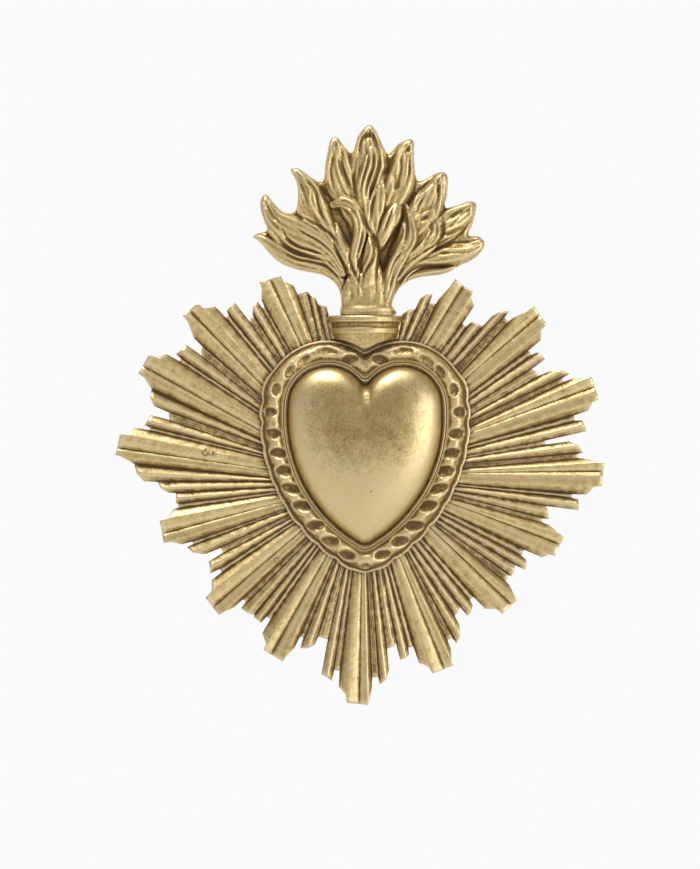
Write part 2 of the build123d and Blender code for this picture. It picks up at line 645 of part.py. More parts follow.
def back_pan():
    """The shallow pan that closes the back: a flange against the plate and a flat floor that
    lies on the wall."""
    flange = heart_stack([(pan_flange_inset, pan_depth - pan_sheet), (pan_flange_inset, pan_depth)])
    floor_inset = pan_wall_inset + pan_draft
    body = heart_stack([(floor_inset, 0), (pan_wall_inset, pan_depth)])
    hollow = heart_stack([
        (floor_inset + pan_sheet, pan_sheet), (pan_wall_inset + pan_sheet, pan_depth + overrun),
    ])
    pan = flange + body - hollow
    for x, z in pan_rivet_places():
        pan = pan - pin(x, z, rivet_radius + running_fit, 0, pan_depth + overrun)
    return pan


def tongue(rows, lift, edge_drop, back):
    """One tongue of flame: a tapering blade with a sharp ridge along its curved middle."""
    spots = [(x * crest_span, crest_foot_z + z * crest_span, half * crest_span) for x, z, half in rows]
    rings = []
    for i, (x, z, half) in enumerate(spots):
        before = spots[max(i - 1, 0)]
        after = spots[min(i + 1, len(spots) - 1)]
        length = math.hypot(after[0] - before[0], after[1] - before[1])
        nx, nz = (after[1] - before[1]) / length, -(after[0] - before[0]) / length
        top = crest_back + crest_web + lift * lift_shares[min(i, len(lift_shares) - 1)]
        edge = max(top - edge_drop, back + crest_web / 2)
        rings.append([
            at(x - nx * half, z - nz * half, back), at(x - nx * half, z - nz * half, edge),
            at(x, z, top), at(x + nx * half, z + nz * half, edge), at(x + nx * half, z + nz * half, back),
        ])
    return skin(rings)


def flame_crest():
    """The crest: nine tongues round its edge, smaller ones before them, a trunk, a web between
    them that is hollow behind, and a tang that goes down behind the collar."""
    web = [(x * crest_span, crest_foot_z + z * crest_span) for x, z in web_shares]
    pocket = [(x * crest_span, crest_foot_z + z * crest_span) for x, z in pocket_shares]
    crest = prism(web, crest_back, crest_back + crest_web)
    inside = crest_back + tongue_root
    for rows in outer_tongue_shares:
        crest = crest + tongue(rows, crest_lift, tongue_edge_drop, inside)
    for rows in inner_tongue_shares:
        crest = crest + tongue(rows, crest_lift + inner_tongue_lift, tongue_edge_drop, inside)
    crest = crest + tongue(trunk_shares, trunk_lift, trunk_edge_drop, inside)
    crest = crest - prism(pocket, crest_back - overrun, crest_back + pocket_depth)
    crest = crest - block(crest_span, tang_foot_z, crest_foot_z, 0, crest_back + crest_span)
    tang_top_z = crest_foot_z + tang_overlap
    crest = crest + block(tang_width, tang_foot_z, tang_top_z, crest_back, tang_front)
    for x, z in neck_rivet_places():
        crest = crest - pin(x, z, rivet_radius + running_fit, 0, tang_front + overrun)
    return crest


def collar_turning(inset):
    """The collar's moulding turned about an upright axis: rim, cove, bead and foot."""
    rim_low = crest_foot_z - collar_rim_height
    cove_low = rim_low - collar_cove_height
    bead_low = cove_low - collar_bead_height
    top = crest_foot_z - inset
    low = collar_foot_z - inset
    profile = [
        (0, top), (collar_radius - inset - collar_edge, top),
        (collar_radius - inset, top - collar_edge), (collar_radius - inset, rim_low),
        (collar_cove_radius - inset, rim_low - collar_edge),
        (collar_cove_radius - inset, cove_low + collar_edge),
        (collar_bead_radius - inset, cove_low), (collar_bead_radius - inset, bead_low),
        (collar_cove_radius - inset, bead_low - collar_edge),
        (collar_foot_radius - inset, low), (0, low),
    ]
    outline = Wire.make_polygon([Vector(r, -collar_axis_depth, z) for r, z in profile], close=True)
    axis = Axis((0, -collar_axis_depth, 0), (0, 0, 1))
    return Solid.revolve(Face(outline), 360, axis)


def collar_cup():
    """The moulded collar, cut off flat where it lies on the plate and cut to the heart below."""
    reach = collar_radius + overrun
    half = collar_flange_width / 2
    foot = collar_foot_width / 2
    cup = collar_turning(0) - collar_turning(collar_wall)
    flange = prism([
        (-half, crest_foot_z), (half, crest_foot_z), (foot, collar_foot_z), (-foot, collar_foot_z),
    ], crest_back, crest_back + collar_flange)
    cup = cup + (flange - collar_turning(collar_wall))
    behind = block(2 * reach, collar_foot_z - reach, crest_foot_z + reach, crest_back - 2 * reach, crest_back)
    cup = cup - behind
    cup = cup - heart_stack([(-scallop_stand - fit, 0), (-scallop_stand - fit, crest_back + 2 * reach)])
    slot = block(tang_width + 2 * fit, collar_foot_z - overrun, crest_foot_z + overrun, 0, tang_front + fit)
    return (cup - slot).solids().sort_by(SortBy.VOLUME)[-1]


def hanger_strap():
    """The strap: a strip folded round the loop's bar, with both leaves down the plate's back."""
    bore = wire_radius + running_fit
    start = at(-strap_width / 2, pivot_z, pivot_depth)
    plane = Plane(origin=start, z_dir=(1, 0, 0))
    strap = Solid.make_cylinder(bore + strap_sheet, strap_width, plane)
    strap = strap + block(strap_width, strap_foot_z, pivot_z, pan_depth - 2 * strap_sheet, pan_depth)
    strap = strap - Solid.make_cylinder(bore, strap_width, plane)
    for x, z in neck_rivet_places():
        strap = strap - pin(x, z, rivet_radius + running_fit, 0, pan_depth + overrun)
    return strap


def loop_path():
    """The loop's middle line (x, z), once round: bar, corner, leg, head, leg and corner."""
    inner = loop_half_width - loop_bend
    foot = pivot_z + loop_bend
    turn = pivot_z + loop_leg
    down = -math.pi / 2
    path = arc(inner, foot, loop_bend, down, 0, bend_facets) + [(loop_half_width, foot)]
    path += arc(0, turn, loop_half_width, 0, math.pi, head_facets) + [(-loop_half_width, turn)]
    path += arc(-inner, foot, loop_bend, math.pi, math.pi - down, bend_facets)
    return path + [(-inner, pivot_z)]


def hanger_loop():
    """The loop, of one wire: a straight bar in the strap, two legs and a round head."""
    path = loop_path()
    count = len(path)
    rings = []
    for i in range(count + 1):
        before, spot, after = path[(i - 1) % count], path[i % count], path[(i + 1) % count]
        into = Vector(spot[0] - before[0], spot[1] - before[1], 0).normalized()
        out = Vector(after[0] - spot[0], after[1] - spot[1], 0).normalized()
        along = (into + out).normalized()
        stretch = 1 / along.dot(out)
        ring = []
        for off, depth in arc(0, 0, wire_radius, 0, 2 * math.pi, wire_facets):
            wide = off * stretch
            ring.append(at(spot[0] + along.Y * wide, spot[1] - along.X * wide, pivot_depth + depth))
        rings.append(ring)
    loop = ring_skin(rings)
    pivot = Axis(at(0, pivot_z, pivot_depth), (1, 0, 0))
    return loop.rotate(pivot, loop_lean)


def write(name, shape):
    solids = shape if isinstance(shape, list) else [shape]
    whole = Compound(children=solids)
    whole.label = name
    export_step(whole, "parts/" + name + ".step")
    print(name, len(whole.solids()), round(whole.volume, 2), whole.is_valid)


os.makedirs("parts", exist_ok=True)
write("ray_plate", ray_plate())
write("flame_crest", flame_crest())
write("collar_cup", collar_cup())
write("scalloped_frame", scalloped_frame())
write("bezel_wire", bezel_wire())
write("heart_dome", heart_dome())
write("back_pan", back_pan())
write("pan_rivets", pan_rivets())
write("neck_rivets", neck_rivets())
write("hanger_strap", hanger_strap())
write("hanger_loop", hanger_loop())
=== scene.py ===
import math

import bpy
import numpy as np
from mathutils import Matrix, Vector
from mathutils.bvhtree import BVHTree


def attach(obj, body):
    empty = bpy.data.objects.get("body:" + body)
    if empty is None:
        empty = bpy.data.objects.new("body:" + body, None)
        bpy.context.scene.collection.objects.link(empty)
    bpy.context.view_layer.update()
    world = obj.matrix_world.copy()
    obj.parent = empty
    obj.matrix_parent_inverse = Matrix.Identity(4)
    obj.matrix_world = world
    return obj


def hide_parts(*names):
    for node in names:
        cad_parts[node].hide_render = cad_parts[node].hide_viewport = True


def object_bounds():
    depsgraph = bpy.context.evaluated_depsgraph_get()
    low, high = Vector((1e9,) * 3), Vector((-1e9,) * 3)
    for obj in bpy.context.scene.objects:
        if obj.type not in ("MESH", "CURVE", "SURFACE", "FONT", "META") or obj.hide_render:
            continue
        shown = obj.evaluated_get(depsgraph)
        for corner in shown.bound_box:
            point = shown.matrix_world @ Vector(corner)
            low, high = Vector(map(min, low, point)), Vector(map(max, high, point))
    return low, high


# A brass ex-voto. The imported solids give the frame; this script dresses the ray plate, the heart
# and its frame, the collar, the flame crest and the fittings behind them. Lengths are millimetres
# until the meshes are made. A depth is the distance from the wall towards the front.

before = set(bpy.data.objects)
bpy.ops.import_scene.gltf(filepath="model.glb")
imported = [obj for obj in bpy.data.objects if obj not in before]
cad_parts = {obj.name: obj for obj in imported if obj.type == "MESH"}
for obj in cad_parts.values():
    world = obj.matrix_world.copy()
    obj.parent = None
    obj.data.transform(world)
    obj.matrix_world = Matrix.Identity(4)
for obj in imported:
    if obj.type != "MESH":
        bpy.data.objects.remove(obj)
cad_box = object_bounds()

mm = 0.001

# Ray plate
ray_reach = 50.0
neck_reach = 35.0
ray_centre_x = -0.4
sheet = 0.6
ridge_height = 1.7
minor_height = 1.1
seat_height = 0.45
pan_depth = 3.2
plate_front = pan_depth + sheet

# Heart outline
lobe_radius = 13.0
lobe_x = 7.4
lobe_z = 14.4
side_radius = 34.4
tip_z = -19.2
tip_round = 2.2
cleft_round = 1.1
dome_middle_z = 5.6
scallop_stand = 0.6

# Flame crest
crest_span = 40.0
crest_foot_z = 32.4

# Each wide ray: the outer bearings and the inner bearings of its left foot, spike, groove, right
# edge and right foot, then the reach of the left foot, the left slope's end, the spike, the right
# edge and the right slope's end, as shares of ray_reach.
wide_ray_shares = [
    ((22.8, 24.6, 27.5, 30.8, 33), (22.2, 23, 25.4, 29.6, 31.6), (.77, .84, .876, .86, .816)),
    ((43, 44.6, 47.3, 50.2, 52.3), (43.3, 44.3, 45.7, 50, 51.5), (.872, .94, .968, .954, .896)),
    ((64.5, 66, 68.5, 71.6, 73.4), (64.5, 65.5, 66.8, 71.2, 72.5), (.92, .984, .996, .99, .936)),
    ((84.8, 86.3, 88.4, 92, 94.3), (84.5, 85.8, 86.8, 91.8, 93.4), (.876, .946, .964, .952, .892)),
    ((104, 106, 108.6, 112.3, 114), (103, 104, 105.5, 110.3, 111.8), (.76, .82, .836, .824, .78)),
    ((126, 128, 130.5, 134.5, 137.1), (122.5, 124, 126, 133, 135.2), (.72, .768, .784, .774, .712)),
    ((152.7, 154.2, 157, 160.7, 163.3), (150.5, 152.5, 155, 161, 162.4),
     (.764, .812, .828, .826, .768)),
    ((177.5, 178.7, 181, 184.4, 186.8), (177.5, 178.7, 181, 184.2, 186.4),
     (.836, .9, .904, .898, .836)),
    ((201.9, 203.5, 207.5, 210.3, 213.2), (199.5, 201, 205, 209, 211.3),
     (.728, .774, .798, .79, .736)),
    ((224.9, 226.2, 229.3, 233, 236.2), (223.5, 225.5, 229.5, 234, 236.3),
     (.728, .772, .792, .788, .724)),
    ((249.8, 251.8, 254.5, 258.3, 260.8), (247.8, 250, 253.5, 257.5, 259.3),
     (.768, .808, .836, .828, .764)),
    ((273.5, 275.2, 277, 280.5, 282.6), (270, 272.5, 275, 278, 281.7),
     (.912, .974, .992, .984, .928)),
    ((292.7, 294.8, 297, 300.3, 302.4), (290.5, 292, 294.5, 298.5, 301.7),
     (.912, .96, .988, .984, .924)),
    ((309.5, 311.9, 314, 316.8, 319.4), (308.5, 310, 312.5, 316, 318.8),
     (.872, .94, .968, .958, .9)),
    ((330.2, 332, 335, 338, 340.3), (330, 332.3, 335, 338.3, 340), (.816, .86, .884, .87, .816)),
]
wide_height_shares = (0.8, 0.55, 1.0)
narrow_ridge_share = 0.45
narrow_rise_share = 0.7

# The narrow flutes: outer bearing and inner bearing of the left foot, the reach at the left and
# right foot as shares of ray_reach, and the height as a share of minor_height.
narrow_flute_shares = [
    (17.6, 16.3, .752, .784, .9), (20.9, 19.0, .744, .752, .1), (33.0, 31.6, .732, .732, .45),
    (34.5, 34.2, .756, .77, .9), (38.5, 37.4, .828, .884, .9), (41.3, 39.9, .852, .852, .1),
    (52.3, 51.5, .832, .832, .45), (54.0, 53.6, .856, .868, .9), (57.0, 56.5, .8, .812, .35),
    (60.0, 59.6, .848, .924, .9), (63.3, 61.7, .888, .888, .1), (73.4, 72.5, .876, .876, .45),
    (75.0, 74.3, .902, .91, .9), (78.3, 77.8, .74, .74, .15), (79.8, 79.0, .832, .884, .9),
    (83.5, 81.6, .86, .86, .1), (94.3, 93.4, .836, .836, .4), (95.5, 94.8, .862, .868, .9),
    (98.6, 98.0, .736, .758, .6), (102.6, 100.4, .732, .732, .1), (114.0, 111.8, .702, .702, .4),
    (116.3, 114.6, .724, .742, .8), (119.7, 118.2, .696, .71, .6), (123.6, 121.5, .7, .7, .1),
    (137.1, 135.2, .646, .646, .4), (139.0, 138.4, .668, .69, .8), (143.0, 142.4, .64, .66, .6),
    (146.5, 146.5, .696, .758, .8), (150.7, 149.2, .728, .728, .1), (163.3, 162.4, .7, .7, .4),
    (165.2, 165.0, .724, .742, .8), (168.6, 168.0, .67, .688, .5), (172.2, 172.0, .774, .826, .9),
    (175.5, 175.0, .796, .796, .1), (186.8, 186.4, .774, .774, .2), (188.7, 188.5, .82, .8, .8),
    (192.2, 191.7, .658, .658, .3), (196.0, 195.0, .688, .724, .8), (200.4, 198.4, .68, .68, .1),
    (213.2, 211.3, .672, .672, .35), (215.0, 214.2, .706, .704, .8), (218.4, 217.0, .696, .712, .6),
    (223.3, 220.9, .68, .68, .1), (236.2, 236.3, .676, .676, .35), (237.8, 238.5, .72, .7, .8),
    (241.8, 241.0, .632, .632, .15), (244.1, 243.6, .696, .756, .8), (248.7, 247.2, .726, .726, .1),
    (260.8, 259.3, .744, .744, .2), (262.2, 261.2, .754, .748, .7), (265.6, 264.2, .778, .82, .8),
    (269.1, 268.0, .872, .914, .9), (282.6, 281.7, .872, .872, .2), (283.5, 283.0, .898, .884, .9),
    (286.7, 285.0, .804, .816, .15), (288.9, 288.0, .88, .916, .9), (302.4, 301.7, .868, .868, .25),
    (303.4, 303.1, .896, .882, .9), (307.2, 306.0, .804, .828, .15),
    (319.4, 318.8, .842, .842, .35), (320.6, 320.5, .86, .866, .8), (324.0, 323.9, .766, .782, .15),
    (326.0, 325.7, .79, .822, .8), (329.3, 328.7, .788, .788, .1), (340.3, 340.0, .776, .776, .35),
]

# The short flutes beside the collar, in the same way, with their reach as shares of neck_reach
neck_flute_shares = [
    (13.4, 14.2, .96, 1.008, .5), (343.5, 342.3, 1.103, 1.057, .6),
    (345.4, 345.2, 1.028, 1.000, .4), (348.2, 347.4, .93, .93, 0),
]

# The heart frame's section from its outer edge over the crown to its lip and back: inset, depth.
frame_section = [
    (.05, 4.25), (0, 4.42), (.04, 4.62), (.16, 4.76), (.34, 4.79), (.5, 4.72), (.62, 4.72),
    (.7, 4.82), (.78, 5.1), (.88, 5.45), (1.02, 5.8), (1.22, 6.1), (1.46, 6.36), (1.74, 6.55),
    (2.04, 6.66), (2.34, 6.71), (2.64, 6.69), (2.92, 6.6), (3.18, 6.42), (3.4, 6.18), (3.58, 5.92),
    (3.72, 5.76), (3.9, 5.7), (3.9, 4.9), (3.2, 4.88), (3.1, 4.25), (1.5, 4.25),
]

# The hollows in the frame's left half, from the cleft down to the tip: across and up from the ray
# centre, half length, half width, tilt in degrees and depth. The right half mirrors them.
hollows = [
    (-3.0, 23.6, 1.9, 1.15, 12, 1.1), (-7.6, 25.2, 2.3, .95, -4, .8),
    (-12.2, 23.4, 1.8, 1.0, 32, .7), (-15.0, 21.2, 1.6, 1.05, 55, .8),
    (-17.6, 17.6, 1.5, 1.15, 84, .9), (-18.9, 13.1, 1.6, 1.15, 4, 1.1),
    (-18.1, 8.8, 1.6, 1.2, -4, 1.15), (-17.1, 4.9, 1.65, 1.2, -8, 1.2),
    (-15.9, 1.3, 1.6, 1.3, -10, 1.25), (-14.5, -2.2, 1.8, 1.2, -18, 1.3),
    (-12.4, -5.6, 1.75, 1.25, -12, 1.3), (-9.7, -9.5, 1.8, 1.2, -2, 1.3),
    (-6.7, -12.6, 1.7, 1.25, -12, 1.3), (-3.3, -15.3, 1.6, 1.15, -16, 1.2),
]
tip_hollow = (0.0, -17.5, 0.95, 0.8, 0, 0.8)

# The double rim between frame and heart: inset, depth.
bezel_section = [
    (3.92, 4.76), (3.92, 5.5), (3.98, 5.62), (4.1, 5.66), (4.2, 5.56), (4.24, 5.42), (4.3, 5.42),
    (4.34, 5.56), (4.44, 5.7), (4.56, 5.72), (4.66, 5.62), (4.7, 5.4), (4.7, 4.76),
]

# The puffed heart's flange and wall: inset, depth.
dome_flange_section = [(3.25, 4.27), (3.25, 4.74), (4.72, 4.74), (5.0, 4.76)]

# The puffed heart: width left, and share of its rise.
puff_shares = [
    (1.0, 0), (.995, .07), (.985, .17), (.97, .28), (.945, .4), (.91, .505), (.865, .6),
    (.81, .685), (.74, .765), (.66, .835), (.56, .895), (.45, .94), (.33, .972), (.2, .991),
    (.08, .999), (0, 1.0),
]
dome_inset = 5.05
dome_back = 4.75
dome_rise = 5.95

# The crest's outline: across and up, as shares of crest_span, from the middle of its foot.
crest_outline_shares = [
    -.12, 0, -.12, .075, -.13, .125, -.15, .16, -.18, .185, -.225, .205, -.275, .215, -.325, .225,
    -.375, .24, -.42, .26, -.46, .29, -.495, .33, -.53, .37, -.56, .39, -.535, .41, -.49, .425,
    -.505, .475, -.52, .525, -.52, .575, -.505, .6, -.485, .6, -.46, .57, -.425, .53, -.39, .51,
    -.355, .515, -.34, .545, -.335, .62, -.345, .67, -.37, .72, -.355, .735, -.325, .73,
    -.275, .695, -.225, .665, -.205, .685, -.2, .74, -.19, .805, -.175, .87, -.155, .89, -.13, .88,
    -.1, .84, -.07, .81, -.055, .83, -.04, .885, -.015, .925, .02, .95, .05, .93, .075, .88,
    .095, .835, .115, .805, .135, .82, .165, .855, .195, .87, .23, .88, .245, .855, .245, .78,
    .255, .69, .275, .67, .325, .695, .37, .715, .4, .71, .415, .68, .41, .605, .4, .54, .455, .55,
    .515, .57, .55, .56, .555, .53, .535, .455, .515, .4, .565, .395, .595, .365, .585, .325,
    .54, .28, .475, .25, .415, .215, .355, .2, .275, .19, .225, .175, .18, .145, .15, .1,
    .135, .055, .14, 0,
]

# The flames, those behind first: lift off the web in millimetres, number of flutes and hollow in
# millimetres, then from tip to root across, up and half width, as shares of crest_span.
flames = [
    # left 1
    (1.5, 3, .25, -.545, .39, .015, -.5, .365, .035, -.435, .32, .055, -.365, .28, .05,
     -.285, .255, .045, -.205, .23, .04, -.14, .175, .045, -.1, .08, .04),
    # left 2
    (2.2, 5, .1, -.505, .595, .02, -.485, .535, .045, -.44, .465, .07, -.355, .405, .09,
     -.265, .36, .08, -.18, .305, .06, -.115, .225, .04),
    # left 3
    (2.0, 4, .3, -.36, .73, .02, -.315, .67, .05, -.285, .6, .07, -.26, .525, .08,
     -.215, .445, .065, -.16, .355, .045, -.1, .23, .03),
    # left 4
    (1.8, 4, .25, -.155, .89, .02, -.145, .825, .05, -.135, .74, .07, -.11, .64, .08,
     -.07, .54, .06, -.035, .42, .04),
    # top
    (1.9, 5, .3, .02, .95, .02, .02, .89, .055, .02, .81, .085, .015, .71, .095, .005, .59, .075,
     .005, .45, .045),
    # right 4
    (1.9, 4, .25, .23, .88, .02, .21, .825, .045, .19, .745, .06, .17, .65, .075, .125, .54, .06,
     .09, .42, .04),
    # right 3
    (2.1, 4, .3, .4, .71, .02, .37, .655, .045, .33, .575, .075, .275, .485, .08, .21, .39, .055,
     .155, .29, .04),
    # right 2
    (1.9, 4, .3, .545, .56, .02, .495, .515, .05, .415, .45, .07, .325, .385, .06, .23, .31, .045,
     .165, .22, .03),
    # right 1
    (1.9, 3, .2, .59, .365, .025, .525, .33, .04, .445, .305, .055, .355, .285, .04,
     .265, .265, .035, .195, .215, .03, .155, .13, .03, .13, .03, .025),
    # skirt
    (.5, 1, 0, .465, .24, .01, .385, .225, .025, .3, .21, .025, .225, .185, .025, .17, .13, .02),
    # curl
    (3.1, 3, 0, -.16, .55, .02, -.11, .565, .035, -.06, .54, .04, -.03, .485, .04,
     -.025, .405, .035, -.045, .315, .03, -.065, .22, .025),
    # centre
    (2.8, 3, 0, .025, .87, .015, .04, .8, .04, .02, .715, .045, -.01, .63, .04, 0, .525, .035,
     .03, .41, .02),
    # inner a
    (2.7, 3, .1, .08, .675, .02, .07, .605, .045, .055, .52, .05, .06, .43, .04, .075, .35, .025),
    # inner b
    (3.2, 2, .1, .17, .57, .015, .145, .505, .04, .11, .435, .04, .08, .36, .025),
    # inner c
    (3.1, 3, .1, .2, .545, .015, .225, .46, .035, .22, .375, .045, .175, .295, .045, .13, .2, .04,
     .1, .08, .035),
    # inner d
    (2.7, 3, .2, .345, .49, .02, .35, .41, .04, .3, .335, .04, .22, .275, .04, .16, .195, .03),
    # inner e
    (2.8, 2, .1, -.145, .45, .015, -.12, .355, .035, -.075, .27, .035, -.035, .185, .035,
     -.01, .1, .03),
    # low
    (3.4, 1, 0, .03, .435, .01, .035, .37, .03, .03, .3, .04, .02, .23, .045, .01, .16, .05),
    # trunk
    (3.3, 4, 0, .005, .33, .05, .005, .24, .075, .005, .16, .105, .005, .08, .13, .005, 0, .135),
]

# Strokes of the modelling tool over the flames: width and height in millimetres, then the line,
# across and up, as shares of crest_span. Grooves have heights below 0.
strokes = [
    (.44, -.9, -.445, .405, -.405, .355, -.355, .32, -.285, .295, -.175, .265),
    (.3, -.5, -.385, .3, -.325, .275, -.265, .265, -.19, .245),
    (.3, -.4, -.375, .26, -.295, .24, -.225, .22, -.165, .18),
    (.3, -.6, -.41, .425, -.38, .375, -.33, .34, -.265, .32, -.195, .3),
    (.7, -.6, -.49, .55, -.465, .51, -.435, .47),
    (.36, -.6, -.36, .5, -.285, .475, -.215, .435, -.16, .39, -.125, .33),
    (.24, -.35, -.365, .45, -.295, .405, -.225, .365, -.16, .31),
    (.24, -.3, -.325, .47, -.255, .435, -.185, .39),
    (.7, -.7, -.325, .59, -.305, .535, -.265, .485, -.225, .45),
    (.36, -.55, -.295, .67, -.25, .63, -.235, .56, -.215, .5, -.185, .455),
    (.32, -.4, -.33, .68, -.305, .62, -.285, .55),
    (.4, -.6, -.22, .66, -.205, .61, -.18, .56),
    (.36, -.5, -.155, .8, -.17, .72, -.155, .64),
    (.4, -.6, -.115, .83, -.115, .755, -.09, .675, -.055, .61),
    (.64, -.4, -.15, .87, -.14, .83),
    (.24, -.35, -.19, .73, -.185, .65, -.15, .59),
    (.56, -.8, -.02, .78, -.025, .84, -.005, .885, .03, .895, .055, .86, .065, .815),
    (.24, -.4, .005, .83, .015, .765, -.005, .695, -.025, .62),
    (.24, -.4, .035, .825, .045, .75, .02, .675, .005, .6),
    (.32, -.55, .07, .79, .065, .72, .04, .645, .02, .58),
    (.32, -.5, -.04, .8, -.05, .73, -.055, .65, -.035, .58),
    (.64, -.7, .075, .67, .1, .71, .12, .725),
    (.64, -.7, .145, .705, .155, .66, .16, .62),
    (.3, -.4, .18, .79, .18, .725, .165, .665),
    (.68, -.5, .2, .83, .22, .815),
    (.28, -.45, .22, .79, .22, .72, .205, .65),
    (.6, -.5, .265, .61, .305, .645, .35, .665),
    (.56, -.5, .255, .52, .295, .52, .335, .55),
    (.28, -.45, .36, .665, .365, .6, .345, .53),
    (.28, -.45, .3, .6, .27, .55, .255, .51),
    (.48, -.9, .19, .54, .2, .48, .21, .42, .195, .36),
    (.64, -.9, .16, .445, .15, .4, .125, .35),
    (.4, -1.1, -.165, .515, -.135, .49, -.1, .465, -.07, .415),
    (.6, -.9, -.11, .435, -.095, .38, -.07, .32),
    (.32, -.6, -.16, .365, -.13, .3, -.1, .235, -.07, .16),
    (.32, -.7, -.08, .3, -.065, .24, -.035, .175),
    (.32, -.7, -.035, .29, -.025, .24, -.01, .195),
    (.44, -.7, -.02, .555, -.01, .49, .015, .43, .055, .375, .065, .31, .06, .23),
    (.32, -.5, -.01, .43, -.02, .36, -.04, .29),
    (.3, -.5, .155, .335, .115, .27, .1, .2, .095, .11),
    (.28, -.4, .17, .27, .14, .21, .125, .13),
    (.24, -.3, .195, .32, .145, .265, .12, .19),
    (.48, -.7, .535, .36, .46, .345, .375, .345),
    (.4, -.5, .49, .32, .42, .31, .355, .31),
    (.68, -.7, .495, .52, .43, .495, .385, .475),
    (.44, -.6, .49, .435, .43, .41, .38, .4),
    (.32, -.7, .48, .415, .395, .37, .315, .33, .25, .29, .195, .245, .155, .17),
    (.4, -1.3, .465, .26, .38, .245, .3, .245, .235, .225, .185, .18, .15, .11),
    (.56, -.6, .27, .47, .315, .495),
    (.32, -.6, .38, .5, .39, .44, .38, .385, .335, .345),
    (.3, -.5, .33, .46, .325, .41, .29, .355),
    (.28, -.5, .105, .535, .08, .47, .06, .4),
    (.24, -.4, .14, .53, .115, .47, .095, .41),
    (.3, -.5, .05, .6, .035, .54, .025, .47),
    (.6, -.35, -.05, .04, .015, .035),
    (.36, -.6, .03, .4, .05, .335, .035, .27, 0, .215, -.015, .15),
    (.26, -.4, .005, .29, -.02, .225, -.035, .16, -.035, .1),
    (.26, -.35, .07, .26, .055, .185, .055, .11),
    (.26, .3, .015, .39, .03, .325, .01, .26, -.015, .2),
    (.44, -.3, -.075, .15, -.065, .1, -.065, .065),
    (.4, -.3, .095, .1, .095, .065, .105, .04),
    (.26, .35, -.505, .55, -.485, .48, -.44, .415, -.38, .35, -.31, .315, -.225, .29, -.155, .255),
    (.24, .3, -.355, .71, -.33, .645, -.325, .575, -.295, .51),
    (.24, .3, -.32, .69, -.28, .63, -.27, .56, -.24, .495),
    (.26, .3, -.135, .84, -.14, .755, -.12, .67, -.08, .595),
    (.24, .25, -.18, .79, -.19, .71, -.175, .635),
    (.36, .3, -.04, .82, -.03, .885, .005, .93, .04, .925, .07, .875, .09, .815),
    (.2, .3, .02, .845, .03, .775, .01, .705, -.01, .635, -.01, .565),
    (.2, .3, .055, .825, .055, .75, .035, .68, .01, .61),
    (.26, .3, .17, .835, .155, .77, .135, .71),
    (.26, .3, .235, .84, .23, .755, .235, .68),
    (.28, .4, .375, .69, .38, .62, .37, .55, .36, .49),
    (.24, .3, .295, .66, .255, .595, .24, .54),
    (.28, .4, .53, .55, .52, .495, .475, .45, .42, .425, .375, .41),
    (.24, .3, .485, .55, .435, .53, .395, .51),
    (.28, .35, -.15, .565, -.105, .58, -.055, .55, -.03, .495),
    (.24, .3, -.135, .54, -.09, .525, -.055, .485, -.04, .42),
    (.24, .3, .23, .475, .25, .41, .235, .345, .185, .285),
    (.24, .35, .355, .48, .37, .425, .35, .365, .295, .32, .225, .275, .17, .215, .14, .13),
    (.24, .3, .04, .62, .025, .55, .02, .48),
    (.24, .35, -.405, .33, -.345, .295, -.27, .28, -.19, .255, -.13, .195, -.095, .11),
    (.24, .3, -.12, .305, -.085, .24, -.045, .17, -.02, .1),
]

# The crest's web and edge, and the size of a cell of its mesh. A cell's point is kept and moved to
# the edge where it lies within these shares of a cell from it.
crest_back = plate_front
crest_web = 1.7
crest_least = 0.5
crest_edge = 0.8
crest_cell = 0.15
kept_cells = 0.7
snapped_cells = 0.3

# A tongue's lift from tip to root, its borders, hollow and flutes. Places across it are shares of
# its half width.
flame_drop = 1.2
flame_lift_places = (0, 0.12, 0.35, 1)
flame_lift_shares = (0.3, 0.65, 0.95, 1)
full_half_width = 1.6
border_place = 0.74
border_width = 0.16
border_height = 0.16
hollow_width = 0.45
flute_height = 0.07
flute_span = 1.8
flute_wander = 0.12
flute_bends = 7

# The neck under the flames, with its bead, the hollow of the back and the tang
neck_x = 0.4
neck_half = 5.3
neck_height = 5.3
neck_fall = 2.0
neck_top = 3.8
neck_blend = 2.6
bead_up = 1.1
bead_width = 0.7
bead_height = 0.3
pocket_depth = 1.2
pocket_rim = 2.4
pocket_foot = 3
tang_width = 5.2
tang_foot_z = 27.0
tang_lap = 0.8
tang_thickness = 1.2
tang_inset = 0.04


def select_only(*objects):
    bpy.ops.object.select_all(action="DESELECT")
    for thing in objects:
        thing.select_set(True)
    bpy.context.view_layer.objects.active = objects[0]


def tidy_mesh(piece, gap=0.002):
    """Joins doubled points and turns the faces outwards."""
    select_only(piece)
    bpy.ops.object.mode_set(mode="EDIT")
    bpy.ops.mesh.select_all(action="SELECT")
    bpy.ops.mesh.remove_doubles(threshold=gap * mm)
    bpy.ops.mesh.normals_make_consistent(inside=False)
    bpy.ops.object.mode_set(mode="OBJECT")


def read_points(piece, what="co"):
    """The places of a piece's points, or their normals."""
    values = np.empty(len(piece.data.vertices) * 3)
    piece.data.vertices.foreach_get(what, values)
    return values.reshape(-1, 3)


def write_points(piece, places):
    piece.data.vertices.foreach_set("co", places.ravel())
    piece.data.update()


def place_points(piece, points):
    """Moves a primitive's points to their places, given in millimetres as x, depth and z."""
    places = np.asarray(points, dtype=np.float64).reshape(-1, 3) * mm
    write_points(piece, np.stack([places[:, 0], -places[:, 1], places[:, 2]], axis=1))


def read_mask(piece, name):
    values = np.empty(len(piece.data.vertices))
    piece.data.attributes[name].data.foreach_get("value", values)
    return values


